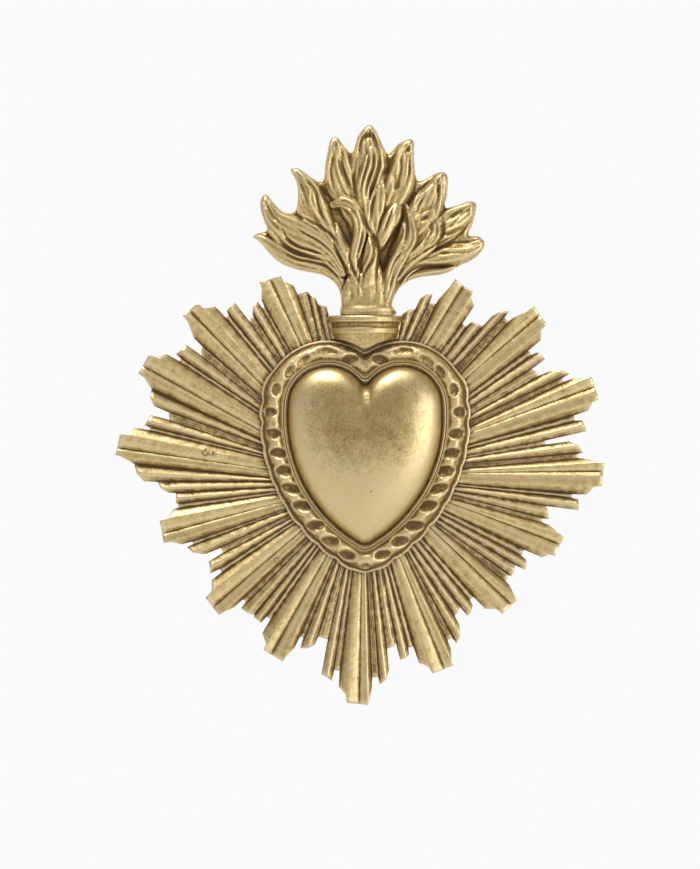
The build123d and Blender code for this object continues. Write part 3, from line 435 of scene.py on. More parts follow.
def add_mask(piece, name, values):
    """Stores a number on each point, for the patina."""
    mask = piece.data.attributes.new(name, "FLOAT", "POINT")
    mask.data.foreach_set("value", values.ravel())


def closed(values, axis=0):
    """Repeats the first row or column at the end."""
    return np.concatenate([values, values.take([0], axis)], axis)


def eased(share):
    return share ** 2 * (3 - 2 * share)


def add_grid(rows, columns):
    bpy.ops.object.select_all(action="DESELECT")
    bpy.ops.mesh.primitive_grid_add(x_subdivisions=columns - 1, y_subdivisions=rows - 1)
    return bpy.context.active_object


def sheet_piece(name, points, stain=None):
    """A sheet of rows of points, joined where its edges meet, with the stain on each point."""
    piece = add_grid(*points.shape[:2])
    piece.name = name
    place_points(piece, points)
    if stain is not None:
        add_mask(piece, "stain", stain)
    tidy_mesh(piece)
    bpy.ops.object.shade_smooth()
    return piece


def ring_piece(name, rings, stains=None):
    """A closed section swept round an outline. Each ring is one point of it, run all round."""
    points = closed(closed(np.stack(rings, axis=1)), 1)
    if stains is not None:
        stains = closed(closed(np.stack(stains, axis=1)), 1)
    return sheet_piece(name, points, stains)


def apply_all(piece):
    select_only(piece)
    for modifier in list(piece.modifiers):
        bpy.ops.object.modifier_apply(modifier=modifier.name)


def join(name, parts):
    select_only(*parts)
    bpy.ops.object.join()
    whole = bpy.context.active_object
    whole.name = name
    return whole


def roughen(piece, size, strength):
    """Uneven as a casting is: soft swells of a size, in millimetres."""
    clouds = bpy.data.textures.new(piece.name + "_swell", "CLOUDS")
    clouds.noise_scale = size * mm
    clouds.noise_depth = 1
    swell = piece.modifiers.new("swell", "DISPLACE")
    swell.texture = clouds
    swell.texture_coords = "LOCAL"
    swell.mid_level = 0.5
    swell.strength = strength * mm
    apply_all(piece)


def rounded_copy(node, name, voxel, rounds):
    """A solid's copy with its edges worn round."""
    select_only(bpy.data.objects[node])
    bpy.ops.object.duplicate()
    piece = bpy.context.active_object
    piece.name = name
    for slot in list(piece.material_slots):
        bpy.ops.object.material_slot_remove()
    tidy_mesh(piece, gap=0.0005)
    remesh = piece.modifiers.new("remesh", "REMESH")
    remesh.mode = "VOXEL"
    remesh.voxel_size = voxel * mm
    remesh.use_smooth_shade = True
    wear = piece.modifiers.new("wear", "SMOOTH")
    wear.iterations = rounds
    wear.factor = 0.5
    apply_all(piece)
    return piece


def keep_inside(piece, box):
    """Holds a piece's swells within the solids' box."""
    low, high = (np.array(corner) for corner in box)
    slack = 0.002 * mm
    write_points(piece, np.clip(read_points(piece), low + slack, high - slack))


# Heart outlines, with the steps of each arc

cleft_steps = 5
lobe_steps = 64
side_steps = 56
tip_steps = 9


def arc(cx, cz, radius, start, end, steps):
    turns = np.linspace(start, end, steps, endpoint=False)
    return np.stack([cx + radius * np.cos(turns), cz + radius * np.sin(turns)], axis=1)


def side_centre():
    across = -lobe_x
    down = tip_z - lobe_z
    span = math.hypot(across, down)
    near = side_radius - lobe_radius
    along = (near ** 2 - side_radius ** 2 + span ** 2) / (2 * span)
    off = math.sqrt(near ** 2 - along ** 2)
    x = lobe_x + (along * across + off * down) / span
    z = lobe_z + (along * down - off * across) / span
    return x, z


def heart(inset, detail=1, share=1.0, soft=1.0):
    """Points (x, z) of the heart outline, from the cleft down the right side and up the left."""
    sx, sz = side_centre()
    lobe, side = lobe_radius - inset, side_radius - inset
    tip, cleft = tip_round * soft, cleft_round * soft
    tip_centre = sz - math.sqrt((side - tip) ** 2 - sx ** 2)
    cleft_centre = lobe_z + math.sqrt((lobe + cleft) ** 2 - lobe_x ** 2)
    to_lobe = math.atan2(lobe_z - cleft_centre, lobe_x)
    past_lobe = math.atan2(lobe_z - sz, lobe_x - sx)
    past_tip = math.atan2(tip_centre - sz, -sx)
    half = np.concatenate([
        arc(0, cleft_centre, cleft, -math.pi / 2, to_lobe, cleft_steps * detail),
        arc(lobe_x, lobe_z, lobe, to_lobe + math.pi, past_lobe, lobe_steps * detail),
        arc(sx, sz, side, past_lobe, past_tip, side_steps * detail),
        arc(0, tip_centre, tip, past_tip, -math.pi / 2, tip_steps * detail),
        [(0, tip_centre - tip)],
    ])
    other = half[-2:0:-1] * (-1, 1)
    whole = np.concatenate([half, other])
    middle = np.array([0, dome_middle_z])
    return middle + (whole - middle) * share


def outwards(outline):
    """Unit directions that point out of a closed outline run clockwise."""
    along = np.roll(outline, -1, axis=0) - np.roll(outline, 1, axis=0)
    along /= np.linalg.norm(along, axis=1)[:, None]
    return np.stack([-along[:, 1], along[:, 0]], axis=1)


def heart_reach(bearing):
    """Distance from the ray centre to the frame's outer edge at a bearing."""
    angle = math.radians(bearing)
    dx, dz = math.sin(angle), math.cos(angle)
    mirror = 1 if dx >= 0 else -1
    start_x = ray_centre_x * mirror
    dx = dx * mirror
    sx, sz = side_centre()
    reach = math.hypot(lobe_x - sx, lobe_z - sz)
    widest_z = sz + (lobe_z - sz) * side_radius / reach
    lobe, side = (lobe_x, lobe_z, lobe_radius, True), (sx, sz, side_radius, False)
    for cx, cz, radius, upper in (lobe, side):
        along = (cx - start_x) * dx + cz * dz
        off = (cx - start_x) * dz - cz * dx
        if abs(off) <= radius:
            far = along + math.sqrt(radius ** 2 - off ** 2)
            if (far * dz >= widest_z) == upper:
                return far
    return side_radius


# Ray plate

# Rows and columns of its mesh, rounding of folds and edge, notches and stains, in millimetres or
# shares, and beads of metal: across, up and radius.
ray_rows = 44
fold_round = 0.13
fold_most = 0.24
flute_thirds = (0.36, 0.64)
edge_round = 0.14
back_rows = 6
valley_notch = 0.3
groove_notch = 0.4
stained_height = 1.0
foot_stain = 0.3
foot_stain_reach = 1.3
valley_stain = 0.32
row_crowding = 0.9
notch_at_foot = 0.6
nodules = [
    (-17.6, -16.4, 0.36), (-31.3, 5.4, 0.42), (-31.9, 5.0, 0.34), (-30.8, 4.9, 0.3),
    (-29.9, 5.2, 0.26),
]


def wide_folds(row, before):
    outer, inner, (foot, slope, spike, edge, end) = row
    groove = (spike + 2 * edge) / 3
    tops = [ridge_height * share for share in wide_height_shares]
    return [
        (outer[0], inner[0], 0.0, before, foot, valley_notch),
        (outer[1], inner[1], tops[0], slope, spike, 0),
        (outer[2], inner[2], tops[1], groove, groove, groove_notch),
        (outer[3], inner[3], tops[2], edge, (edge + end) / 2, 0),
    ]


def narrow_folds(row, before, ahead):
    outer, inner, first, last, height = row
    folds = [(outer, inner, 0.0, before, first, valley_notch)]
    if height > 0:
        middle = first + (last - first) * narrow_rise_share
        outer_middle = outer + (ahead[0] - outer) * narrow_ridge_share
        inner_middle = inner + (ahead[1] - inner) * narrow_ridge_share
        folds.append((outer_middle, inner_middle, minor_height * height, middle, middle, 0))
    return folds


def ray_folds():
    """The plate's folds in order: outer bearing, inner bearing, height at the outer end, and the
    reach just before and just after the fold."""
    starts = [(row[0][0], row[1][0], row) for row in wide_ray_shares]
    starts += [(row[0], row[1], row) for row in narrow_flute_shares]
    near = neck_reach / ray_reach
    for outer, inner, first, last, height in neck_flute_shares:
        starts.append((outer, inner, (outer, inner, first * near, last * near, height)))
    starts.sort(key=lambda start: start[0])
    turned = starts[1:] + [(starts[0][0] + 360, starts[0][1] + 360)]
    before = starts[-1][2][3]
    folds = []
    for (_, _, row), ahead in zip(starts, turned):
        if len(row) == 3:
            folds += wide_folds(row, before)
            before = row[2][4]
        else:
            folds += narrow_folds(row, before, ahead)
            before = row[3]
    return folds


def fold_line(fold, share):
    """A fold's foot at the frame and its end at a share of the reach: x, height, z."""
    angle = math.radians(fold[1])
    reach = heart_reach(fold[1])
    height = seat_height * min(1.0, 2 * fold[2] / ridge_height)
    foot = np.array([ray_centre_x + reach * math.sin(angle), height, reach * math.cos(angle)])
    angle = math.radians(fold[0])
    top = max(fold[3], fold[4]) * ray_reach
    outer = np.array([ray_centre_x + top * math.sin(angle), fold[2], top * math.cos(angle)])
    full = math.hypot(outer[0] - foot[0], outer[2] - foot[2])
    part = 1.0 - (top - share * ray_reach) / full
    return foot, foot + (outer - foot) * part


def ray_columns():
    """Lines that run out over the plate, several between each two folds and one at each side of
    a fold, so that the folds are rounded."""
    folds = ray_folds()
    columns = []
    for left, right in zip(folds, folds[1:] + folds[:1]):
        left_foot, left_end = fold_line(left, left[4])
        right_foot, right_end = fold_line(right, right[3])
        width = np.linalg.norm(right_end - left_end)
        near = min(fold_most, fold_round / width)
        for share in (near, *flute_thirds, 1 - near):
            foot = left_foot + (right_foot - left_foot) * share
            end = left_end + (right_end - left_end) * share
            columns.append((foot, end))
        if right[5]:
            cut = np.array([0, right[5], 0])
            end = (right_end + fold_line(right, right[4])[1]) / 2
            columns.append((right_foot - cut * notch_at_foot, end - cut))
    return columns


def ray_plate():
    columns = ray_columns()
    feet, ends = (np.array(side) for side in zip(*columns))
    length = np.linalg.norm(ends - feet, axis=1)[:, None]
    low = valley_stain * np.clip(1 - ends[:, 1] / stained_height, 0, 1)
    front = [np.tile([ray_centre_x, 0.0, 0.0], (len(columns), 1))]
    stain = [low]
    for share in np.linspace(0, 1, ray_rows) ** row_crowding:
        part = share * (1 - edge_round / length)
        front.append(feet + (ends - feet) * part)
        stain.append(low + foot_stain * np.exp(-share * length[:, 0] / foot_stain_reach))
    rim = ends - [0, edge_round, 0]
    back = [ends - [0, sheet - edge_round, 0]]
    for share in np.linspace(1, 0, back_rows):
        part = share * (1 - edge_round / length)
        back.append(feet + (ends - feet) * part - [0, sheet, 0])
    back.append(front[0] - [0, sheet, 0])
    rows = np.array(front + [rim] + back) + [0, plate_front, 0]
    stain += [low] * (len(rows) - len(stain))
    return sheet_piece("ray_plate_dressed", closed(rows, 1), closed(np.array(stain), 1))


def add_nodules(plate):
    """Beads of spilt metal that stand on the plate."""
    select_only(plate)
    tree = BVHTree.FromObject(plate, bpy.context.evaluated_depsgraph_get())
    beads = []
    for across, up, radius in nodules:
        hit = tree.ray_cast(Vector((across * mm, -0.05, up * mm)), Vector((0, 1, 0)))
        bpy.ops.mesh.primitive_uv_sphere_add(
            segments=24, ring_count=12, radius=radius * mm, location=hit[0])
        bpy.ops.object.transform_apply(location=True)
        bpy.ops.object.shade_smooth()
        beads.append(bpy.context.active_object)
    return join(plate.name, [plate, *beads])


# Heart frame, bezel and puffed heart

# The frame's stain is even, a little less in the worn bowls of its hollows.
frame_stain = 0.2
hollow_stain = -0.06
lobe_foot_z = 15
outward_stretch = 1.3
bowl_tilt = 0.35
bowl_power = 0.85
scallop_inset = 1.2
scallop_width = 1.4
crown = (0.7, 3.8)
crown_foot = 4.9
crown_fade = 0.8
tip_soften = 3.2
dome_wall_gap = 0.5
dome_back_gap = 0.48


def hollow_depth(x, z):
    """How far the hollows sink the frame's face at places x and z."""
    depth = np.zeros_like(x)
    places = [tip_hollow]
    for across, up, long, short, tilt, sink in hollows:
        places.append((across, up, long, short, tilt, sink))
        places.append((-across, up, long, short, -tilt, sink))
    for across, up, long, short, tilt, sink in places:
        turn = math.radians(tilt)
        along = (x - across) * math.cos(turn) + (z - up) * math.sin(turn)
        aside = (z - up) * math.cos(turn) - (x - across) * math.sin(turn)
        if up < lobe_foot_z:
            along = np.where(along * across > 0, along / outward_stretch, along)
        bowl = 1 - (along / long) ** 2 - (aside / short) ** 2
        steep = 1 + bowl_tilt * np.clip(aside / short, -1, 1)
        depth = np.maximum(depth, sink * steep * np.clip(bowl, 0, 1) ** bowl_power)
    return depth


def scallop_wave(outline):
    """Waves of the rim: out beside each hollow from the lobes down, in between them."""
    wave = np.zeros(len(outline))
    for across, up, *_ in hollows[4:]:
        for side in (1, -1):
            gap = np.hypot(outline[:, 0] - across * side, outline[:, 1] - up)
            wave = np.maximum(wave, np.exp(-((gap - gap.min()) / scallop_width) ** 2))
    return wave


def at_depth(outline, depth):
    """An outline's points as x, depth and z."""
    return np.stack([outline[:, 0], np.broadcast_to(depth, len(outline)), outline[:, 1]], axis=1)


def heart_frame():
    detail = 3
    out = outwards(heart(0.0, detail))
    wave = scallop_wave(heart(scallop_inset, detail))
    rings, stains = [], []
    for inset, depth in frame_section:
        fade = np.clip(scallop_inset - inset, 0, 1)
        outline = heart(inset, detail) + out * (wave * fade * scallop_stand)[:, None]
        sink = hollow_depth(outline[:, 0], outline[:, 1])
        if crown[0] < inset < crown[1]:
            depth = depth - sink * np.clip((depth - crown_foot) / crown_fade, 0, 1)
        rings.append(at_depth(outline, depth))
        stains.append(hollow_stain * sink + frame_stain)
    return ring_piece("heart_frame_dressed", rings, stains)


def bezel_ring():
    rings = [at_depth(heart(inset, 2), depth) for inset, depth in bezel_section]
    return ring_piece("bezel_dressed", rings)


def curve_through(rows, steps):
    """A smooth run through rows of numbers, with a number of steps between two of them."""
    rows = np.asarray(rows, dtype=float)
    padded = np.concatenate([rows[:1] * 2 - rows[1:2], rows, rows[-1:] * 2 - rows[-2:-1]])
    made = []
    for i in range(len(rows) - 1):
        a, b, c, d = padded[i:i + 4]
        for t in np.arange(steps) / steps:
            made.append(0.5 * ((2 * b) + (c - a) * t + (2 * a - 5 * b + 4 * c - d) * t ** 2
                               + (3 * b - a - 3 * c + d) * t ** 3))
    made.append(rows[-1])
    return np.array(made)


def puffed_heart():
    detail = 2
    rings = [at_depth(heart(inset, detail), depth) for inset, depth in dome_flange_section]
    for width, rise in curve_through(puff_shares, 4):
        width = max(width, 0.0)
        outline = heart(dome_inset, detail, width, 1 + tip_soften * (1 - width))
        rings.append(at_depth(outline, dome_back + dome_rise * rise))
    for width, rise in reversed(puff_shares[::3]):
        outline = heart(dome_inset + dome_wall_gap, detail, width, 1 + tip_soften * (1 - width))
        rings.append(at_depth(outline, dome_back + (dome_rise - sheet) * rise - dome_back_gap))
    return ring_piece("puffed_heart_dressed", rings)


# Flame crest

def nearest_on(line, places, chunk=8000):
    """For each place (x, z), its distance to a line of points and the nearest one's index."""
    gaps, which = [], []
    for i in range(0, len(places), chunk):
        away = places[i:i + chunk, None, :] - line[None, :, :2]
        square = (away ** 2).sum(axis=2)
        index = square.argmin(axis=1)
        which.append(index)
        gaps.append(np.sqrt(square[np.arange(len(index)), index]))
    return np.concatenate(gaps), np.concatenate(which)


def inside_of(outline, places):
    """Whether each place lies within a closed outline."""
    inside = np.zeros(len(places), dtype=bool)
    x, z = places.T
    for (ax, az), (bx, bz) in zip(outline, np.roll(outline, -1, axis=0)):
        if az != bz:
            crosses = ((az > z) != (bz > z)) & (x < (bx - ax) * (z - az) / (bz - az) + ax)
            inside ^= crosses
    return inside


def on_crest(numbers, columns=2):
    """Shares of crest_span as rows in millimetres: across, up and, with three columns, width."""
    rows = np.reshape(numbers, (-1, columns)) * crest_span
    rows[:, 1] += crest_foot_z
    return rows


def near_line(line, reach, places):
    """The places near enough to a line to be touched by it."""
    low, high = line[:, :2].min(axis=0) - reach, line[:, :2].max(axis=0) + reach
    return np.nonzero(((places > low) & (places < high)).all(axis=1))[0]


def add_flame(depth, places, lift, flutes, hollow, *tongue):
    """Lays one tongue of flame over what is there: raised borders, a hollow and fine flutes."""
    run = curve_through(on_crest(tongue, 3), 12)
    near = near_line(run, run[:, 2].max(), places)
    gap, which = nearest_on(run, places[near])
    along = np.gradient(run[:, :2], axis=0)
    away = places[near] - run[which, :2]
    side = np.sign(along[which, 0] * away[:, 1] - along[which, 1] * away[:, 0])
    across = side * gap / run[which, 2]
    spot = which / (len(run) - 1)
    rise = np.interp(spot, flame_lift_places, flame_lift_shares)
    slim = np.minimum(1, run[which, 2] / full_half_width)
    face = crest_back + crest_web + lift * rise - slim * flame_drop * np.abs(across) ** 3
    face += slim * border_height * np.exp(-((np.abs(across) - border_place) / border_width) ** 2)
    face -= slim * hollow * np.exp(-(across / hollow_width) ** 2)
    wander = flute_wander * np.sin(spot * flute_bends)
    flute = np.cos(2 * math.pi * flutes * (across + wander) / flute_span)
    face += flute_height * slim * flute * (1 - np.minimum(1, np.abs(across)) ** 6)
    face[np.abs(across) > 1] = 0
    depth[near] = np.maximum(depth[near], face)


def add_stroke(depth, places, width, height, *line):
    """A groove or a ridge along a line, that fades out at its ends."""
    run = curve_through(on_crest(line), 10)
    near = near_line(run, 3 * width, places)
    gap, which = nearest_on(run, places[near])
    fade = np.sin(math.pi * np.clip(which / (len(run) - 1), 0.03, 0.97)) ** 0.5
    depth[near] += height * fade * np.exp(-(gap / width) ** 2)


def crest_grid():
    """Even places over the crest, which of them are kept, and their distances from its edge."""
    outline = curve_through(closed(on_crest(crest_outline_shares)), 12)[:-1]
    low, high = outline.min(axis=0) - crest_cell, outline.max(axis=0) + crest_cell
    across = np.arange(low[0], high[0], crest_cell)
    up = np.arange(low[1], high[1], crest_cell)
    places = np.stack(np.meshgrid(across, up), axis=2).reshape(-1, 2)
    inside = inside_of(outline, places)
    gap, which = nearest_on(outline, places)
    kept = inside | (gap < kept_cells * crest_cell)
    edge = kept & (~inside | (gap < snapped_cells * crest_cell))
    places[edge] = outline[which[edge]]
    gap[edge] = 0
    return (len(up), len(across)), places, kept, gap


def crest_depths(places, gap):
    depth = np.full(len(places), crest_back + crest_web)
    for row in flames:
        add_flame(depth, places, *row)
    for row in strokes:
        add_stroke(depth, places, *row)
    up = places[:, 1] - crest_foot_z
    aside = np.abs(places[:, 0] - neck_x)
    neck = crest_back + neck_height - neck_fall * (aside / neck_half) ** 3
    bead = neck + bead_height * np.exp(-((up - bead_up) / bead_width) ** 2)
    depth += (bead - depth) * eased(np.clip((neck_top - up) / neck_blend, 0, 1))
    gap = np.where(up < crest_edge, neck_half - aside, gap)
    depth -= crest_edge * (1 - np.clip(gap / crest_edge, 0, 1)) ** 2
    return depth


def crest_tang():
    """The tongue of metal that goes down behind the collar."""
    top_z = crest_foot_z + tang_lap
    bpy.ops.mesh.primitive_cube_add(size=mm)
    tang = bpy.context.active_object
    spans = np.array([tang_width, tang_thickness - tang_inset, top_z - tang_foot_z])
    tang_middle = crest_back + (tang_thickness + tang_inset) / 2
    middle = np.array([0, -tang_middle, (top_z + tang_foot_z) / 2])
    write_points(tang, read_points(tang) * spans + middle * mm)
    return tang


def flame_crest():
    """The crest: a modelled front, a hollow back and the tang."""
    shape, places, kept, gap = crest_grid()
    depth = crest_depths(places, gap)
    above = np.clip(places[:, 1] - crest_foot_z - pocket_foot, 0, 1)
    pocket = pocket_depth * eased(np.clip(gap - pocket_rim, 0, 1) * above)
    depth = np.maximum(depth, crest_back + crest_least + pocket)
    crest = add_grid(*shape)
    place_points(crest, np.stack([places[:, 0], depth, places[:, 1]], axis=1))
    add_mask(crest, "hollow", pocket)
    bpy.ops.object.mode_set(mode="EDIT")
    bpy.ops.mesh.select_mode(type="VERT")
    bpy.ops.mesh.select_all(action="DESELECT")
    bpy.ops.object.mode_set(mode="OBJECT")
    crest.data.vertices.foreach_set("select", ~kept)
    bpy.ops.object.mode_set(mode="EDIT")
    bpy.ops.mesh.delete(type="VERT")
    bpy.ops.mesh.select_all(action="SELECT")
    behind = (0, crest_span * mm, 0)
    bpy.ops.mesh.extrude_region_move(TRANSFORM_OT_translate={"value": behind})
    bpy.ops.object.mode_set(mode="OBJECT")
    co = read_points(crest)
    back = co[:, 1] > 0
    co[back, 1] = -(crest_back + read_mask(crest, "hollow")[back]) * mm
    write_points(crest, co)
    soft = crest.modifiers.new("soft", "SMOOTH")
    soft.iterations = 1
    soft.factor = 0.5
    apply_all(crest)
    tidy_mesh(crest)
    bpy.ops.object.shade_smooth()
    return join("flame_crest_dressed", [crest, crest_tang()])


# Masks for the patina, and the painted shade on the puffed heart

# The recess mask casts rays over a reach in millimetres, from the front and sides alone.
golden_turn = 2.399963
back_facing = 0.3
start_gap = 0.04


def ray_fan(rays):
    """Directions spread evenly over a half ball: sideways, sideways and outwards."""
    turns = np.arange(rays) * golden_turn
    heights = (np.arange(rays) + 0.5) / rays
    flat = np.sqrt(1 - heights ** 2)
    return np.stack([flat * np.cos(turns), flat * np.sin(turns), heights], axis=1)


def recess_mask(pieces, reach=2.6, rays=14):
    """Stores on each point how deep it lies among its surroundings, from 0 in the open to 1."""
    points, faces, start = [], [], 0
    for piece in pieces:
        points.append(read_points(piece))
        faces += [[v + start for v in face.vertices] for face in piece.data.polygons]
        start += len(points[-1])
    tree = BVHTree.FromPolygons(np.concatenate(points).tolist(), faces)
    fan = ray_fan(rays)
    weights = fan[:, 2] / fan[:, 2].sum()
    far = reach * mm
    for piece, co in zip(pieces, points):
        normals = read_points(piece, "normal")
        values = np.zeros(len(co))
        helper = np.where(np.abs(normals[:, 2:]) < 0.9, [[0, 0, 1.0]], [[1.0, 0, 0]])
        right = np.cross(helper, normals)
        right /= np.linalg.norm(right, axis=1)[:, None]
        up = np.cross(normals, right)
        seen = np.nonzero(normals[:, 1] < back_facing)[0]
        origins = co + normals * (start_gap * mm)
        for k in range(rays):
            ways = right * fan[k, 0] + up * fan[k, 1] + normals * fan[k, 2]
            for i in seen:
                hit = tree.ray_cast(origins[i], ways[i], far)
                if hit[0] is not None:
                    values[i] += weights[k] * (1 - 0.5 * hit[3] / far)
        if "stain" in piece.data.attributes:
            values += read_mask(piece, "stain")
        add_mask(piece, "recess", values)


def edge_mask(piece):
    """Stores on each point how sharply it stands out (above 0.5) or lies in (below 0.5)."""
    co, normals = read_points(piece), read_points(piece, "normal")
    pairs = np.empty(len(piece.data.edges) * 2, dtype=np.int64)
    piece.data.edges.foreach_get("vertices", pairs)
    a, b = pairs.reshape(-1, 2).T
    way = co[b] - co[a]
    span = np.maximum(np.linalg.norm(way, axis=1), 1e-9)
    bend = ((normals[b] - normals[a]) * way).sum(axis=1) / span
    total = np.bincount(a, bend, len(co)) + np.bincount(b, bend, len(co))
    count = np.bincount(a, minlength=len(co)) + np.bincount(b, minlength=len(co))
    add_mask(piece, "edge", np.clip(0.5 + total / np.maximum(count, 1), 0, 1))


# The haze and painted shade on the puffed heart: how much patina is cleared all over, which paints
# the lower half lighter, how much haze and shade is laid on the upper half, and its limits
haze_and_shade_clear = 0.28
haze_and_shade_full = 0.5
haze_and_shade_foot, haze_and_shade_rise = -2.5, 12
haze_and_shade_top, haze_and_shade_fall, haze_and_shade_top_slope = 20.5, 4.5, 0.25
haze_and_shade_side, haze_and_shade_side_fade = 15.6, 9.5


def add_haze_and_shade(piece):
    """A brown haze over the upper half of the puffed heart, partly patina and partly painted shade
    where that half faces the darker sky, and less patina all over, so that the lower half is
    painted lighter.
    """
    x, _, z = (read_points(piece) / mm).T
    above = np.clip((z - haze_and_shade_foot) / haze_and_shade_rise, 0, 1)
    above *= np.clip((haze_and_shade_top - z + haze_and_shade_top_slope * np.abs(x)) / haze_and_shade_fall, 0, 1)
    haze_and_shade = above * np.clip((haze_and_shade_side - np.abs(x)) / haze_and_shade_side_fade, 0, 1)
    # Painted shade: the recess mask is raised over the upper half and lowered all over, so the
    # upper half is darker and the lower half lighter
    values = read_mask(piece, "recess") - haze_and_shade_clear + haze_and_shade_full * eased(haze_and_shade)
    piece.data.attributes["recess"].data.foreach_set("value", values)


# Node helpers

def add(tree, kind, **settings):
    node = tree.nodes.new("ShaderNode" + kind)
    for key, value in settings.items():
        setattr(node, key, value)
    return node


def fill(tree, sockets, values):
    """Links or sets each socket, and leaves those that have no value."""
    for socket, value in zip(sockets, values):
        if isinstance(value, bpy.types.NodeSocket):
            tree.links.new(value, socket)
        elif value is not None:
            socket.default_value = value


def mix_colour(tree, factor, first, second):
    node = add(tree, "Mix", data_type="RGBA")
    fill(tree, [node.inputs[i] for i in (0, 6, 7)], (factor, first, second))
    return node.outputs[2]


def spread(tree, value, low, high, to_low=0.0, to_high=1.0, smooth=False):
    """Maps a value from one span to another, held at the ends."""
    node = add(tree, "MapRange", clamp=True)
    if smooth:
        node.interpolation_type = "SMOOTHSTEP"
    fill(tree, node.inputs, (value, low, high, to_low, to_high))
    return node.outputs[0]


def maths(tree, what, *values):
    node = add(tree, "Math", operation=what)
    fill(tree, node.inputs, values)
    return node.outputs[0]


def stir(tree, base, cloud, amount):
    """Adds noise, which varies about a half, to a value."""
    return maths(tree, "MULTIPLY_ADD", maths(tree, "SUBTRACT", cloud, 0.5), amount, base)


def noise(tree, place, size, detail, rough):
    """Noise with features of a size in millimetres."""
    node = add(tree, "TexNoise")
    sockets = [node.inputs[name] for name in ("Vector", "Scale", "Detail", "Roughness")]
    fill(tree, sockets, (place, 1 / (size * mm), detail, rough))
    return node.outputs["Fac"]


bearing_scale = 0.045
reach_scale = 0.1


def polar(tree, place):
    """Coordinates that run out from the ray centre, drawn out along the rays."""
    parts = add(tree, "SeparateXYZ")
    tree.links.new(place, parts.inputs[0])
    across = maths(tree, "SUBTRACT", parts.outputs["X"], ray_centre_x * mm)
    up = parts.outputs["Z"]
    squares = [maths(tree, "POWER", side, 2.0) for side in (across, up)]
    reach = maths(tree, "SQRT", maths(tree, "ADD", *squares))
    bearing = maths(tree, "ARCTAN2", across, up)
    whole = add(tree, "CombineXYZ")
    tree.links.new(maths(tree, "MULTIPLY", bearing, bearing_scale), whole.inputs[0])
    tree.links.new(maths(tree, "MULTIPLY", reach, reach_scale), whole.inputs[1])
    return whole.outputs[0]


worn_brass = (0.88, 0.72, 0.43, 1)
yellow_brass = (0.78, 0.63, 0.22, 1)
brown_patina = (0.20, 0.115, 0.042, 1)
# Casting pits: across, up and radius
pits = [
    (-17.6, -3.0, 0.6), (-18.4, 2.4, 0.5), (-12.6, -8.8, 0.6), (16.2, -6.4, 0.6),
    (20.6, 18.6, 0.45), (22.0, 14.0, 0.45), (-17.8, -9.2, 0.25), (1.2, -2.6, 0.22),
    (-17.6, -16.4, 0.62), (-31.6, 5.2, 0.8), (16.9, -9.6, 0.4), (19.3, 10.2, 0.4),
]


def add_pits(tree, place, spots):
    flat = add(tree, "VectorMath", operation="MULTIPLY")
    fill(tree, flat.inputs, (place, (1, 0, 1)))
    for across, up, radius in pits:
        away = add(tree, "VectorMath", operation="DISTANCE")
        fill(tree, away.inputs, (flat.outputs[0], (across * mm, 0, up * mm)))
        size = radius * mm
        pit = spread(tree, away.outputs["Value"], size, 0.5 * size, smooth=True)
        spots = maths(tree, "MAXIMUM", spots, pit)
    return spots


def patina_group():
    """Brass with brown patina in its hollows, speckle all over and edges worn bright. The recess
    mask also brings in the painted shade on the puffed heart's upper half.
    """
    group = bpy.data.node_groups.new("brass_patina", "ShaderNodeTree")
    for name, kind, way in (
        ("Place", "Vector", "INPUT"), ("Recess", "Float", "INPUT"), ("Edge", "Float", "INPUT"),
        ("Bright", "Color", "INPUT"), ("Warm", "Color", "INPUT"), ("Depth", "Float", "INPUT"),
        ("Speckle", "Float", "INPUT"), ("Colour", "Color", "OUTPUT"),
        ("Roughness", "Float", "OUTPUT"), ("Metallic", "Float", "OUTPUT"),
        ("Height", "Float", "OUTPUT"),
    ):
        group.interface.new_socket(name, in_out=way, socket_type="NodeSocket" + kind)
    start = group.nodes.new("NodeGroupInput").outputs
    end = group.nodes.new("NodeGroupOutput")
    place = start["Place"]
    cloud = noise(group, place, 2.4, 4, 0.65)
    grain = noise(group, place, 0.55, 4, 0.75)
    dots = noise(group, place, 0.24, 2, 0.5)
    streaks = noise(group, polar(group, place), 0.5, 3, 0.6)
    blotches = noise(group, place, 3.5, 3, 0.6)

    # How deep the patina is, and on the puffed heart also its painted shade, from the masks and
    # ragged with noise
    ragged = start["Recess"]
    for cover, amount in ((grain, 0.9), (cloud, 0.7), (streaks, 0.5)):
        ragged = stir(group, ragged, cover, amount)
    valley = maths(group, "SUBTRACT", 0.5, start["Edge"])
    ragged = maths(group, "MULTIPLY_ADD", valley, 1.2, ragged)
    deep = maths(group, "MULTIPLY", spread(group, ragged, 0.16, 0.5, smooth=True), start["Depth"])
    film = maths(group, "MULTIPLY", spread(group, ragged, -0.2, 0.2), start["Depth"])
    spots = spread(group, dots, 0.57, 0.68, smooth=True)
    spots = maths(group, "MULTIPLY", spots, spread(group, film, 0.3, 0.8))
    spots = maths(group, "MULTIPLY", spots, start["Speckle"])
    spots = add_pits(group, place, spots)

    yellow = spread(group, blotches, 0.5, 0.68, 0.0, 0.3)
    worn = maths(group, "MULTIPLY", spread(group, start["Edge"], 0.53, 0.64, smooth=True), 0.6)
    base = mix_colour(group, yellow, start["Bright"], yellow_brass)
    for cover, colour in (
        (film, start["Warm"]), (spots, brown_patina), (deep, brown_patina), (worn, worn_brass),
    ):
        base = mix_colour(group, cover, base, colour)
    dull = maths(group, "MAXIMUM", deep, spots)
    rough = stir(group, spread(group, dull, 0, 1, 0.42, 0.72), grain, 0.22)
    metal = spread(group, dull, 0, 1, 1.0, 0.35)
    height = maths(group, "MULTIPLY_ADD", spots, -0.6, maths(group, "MULTIPLY", grain, 0.5))
    fill(group, end.inputs, (base, rough, metal, height))
    return group


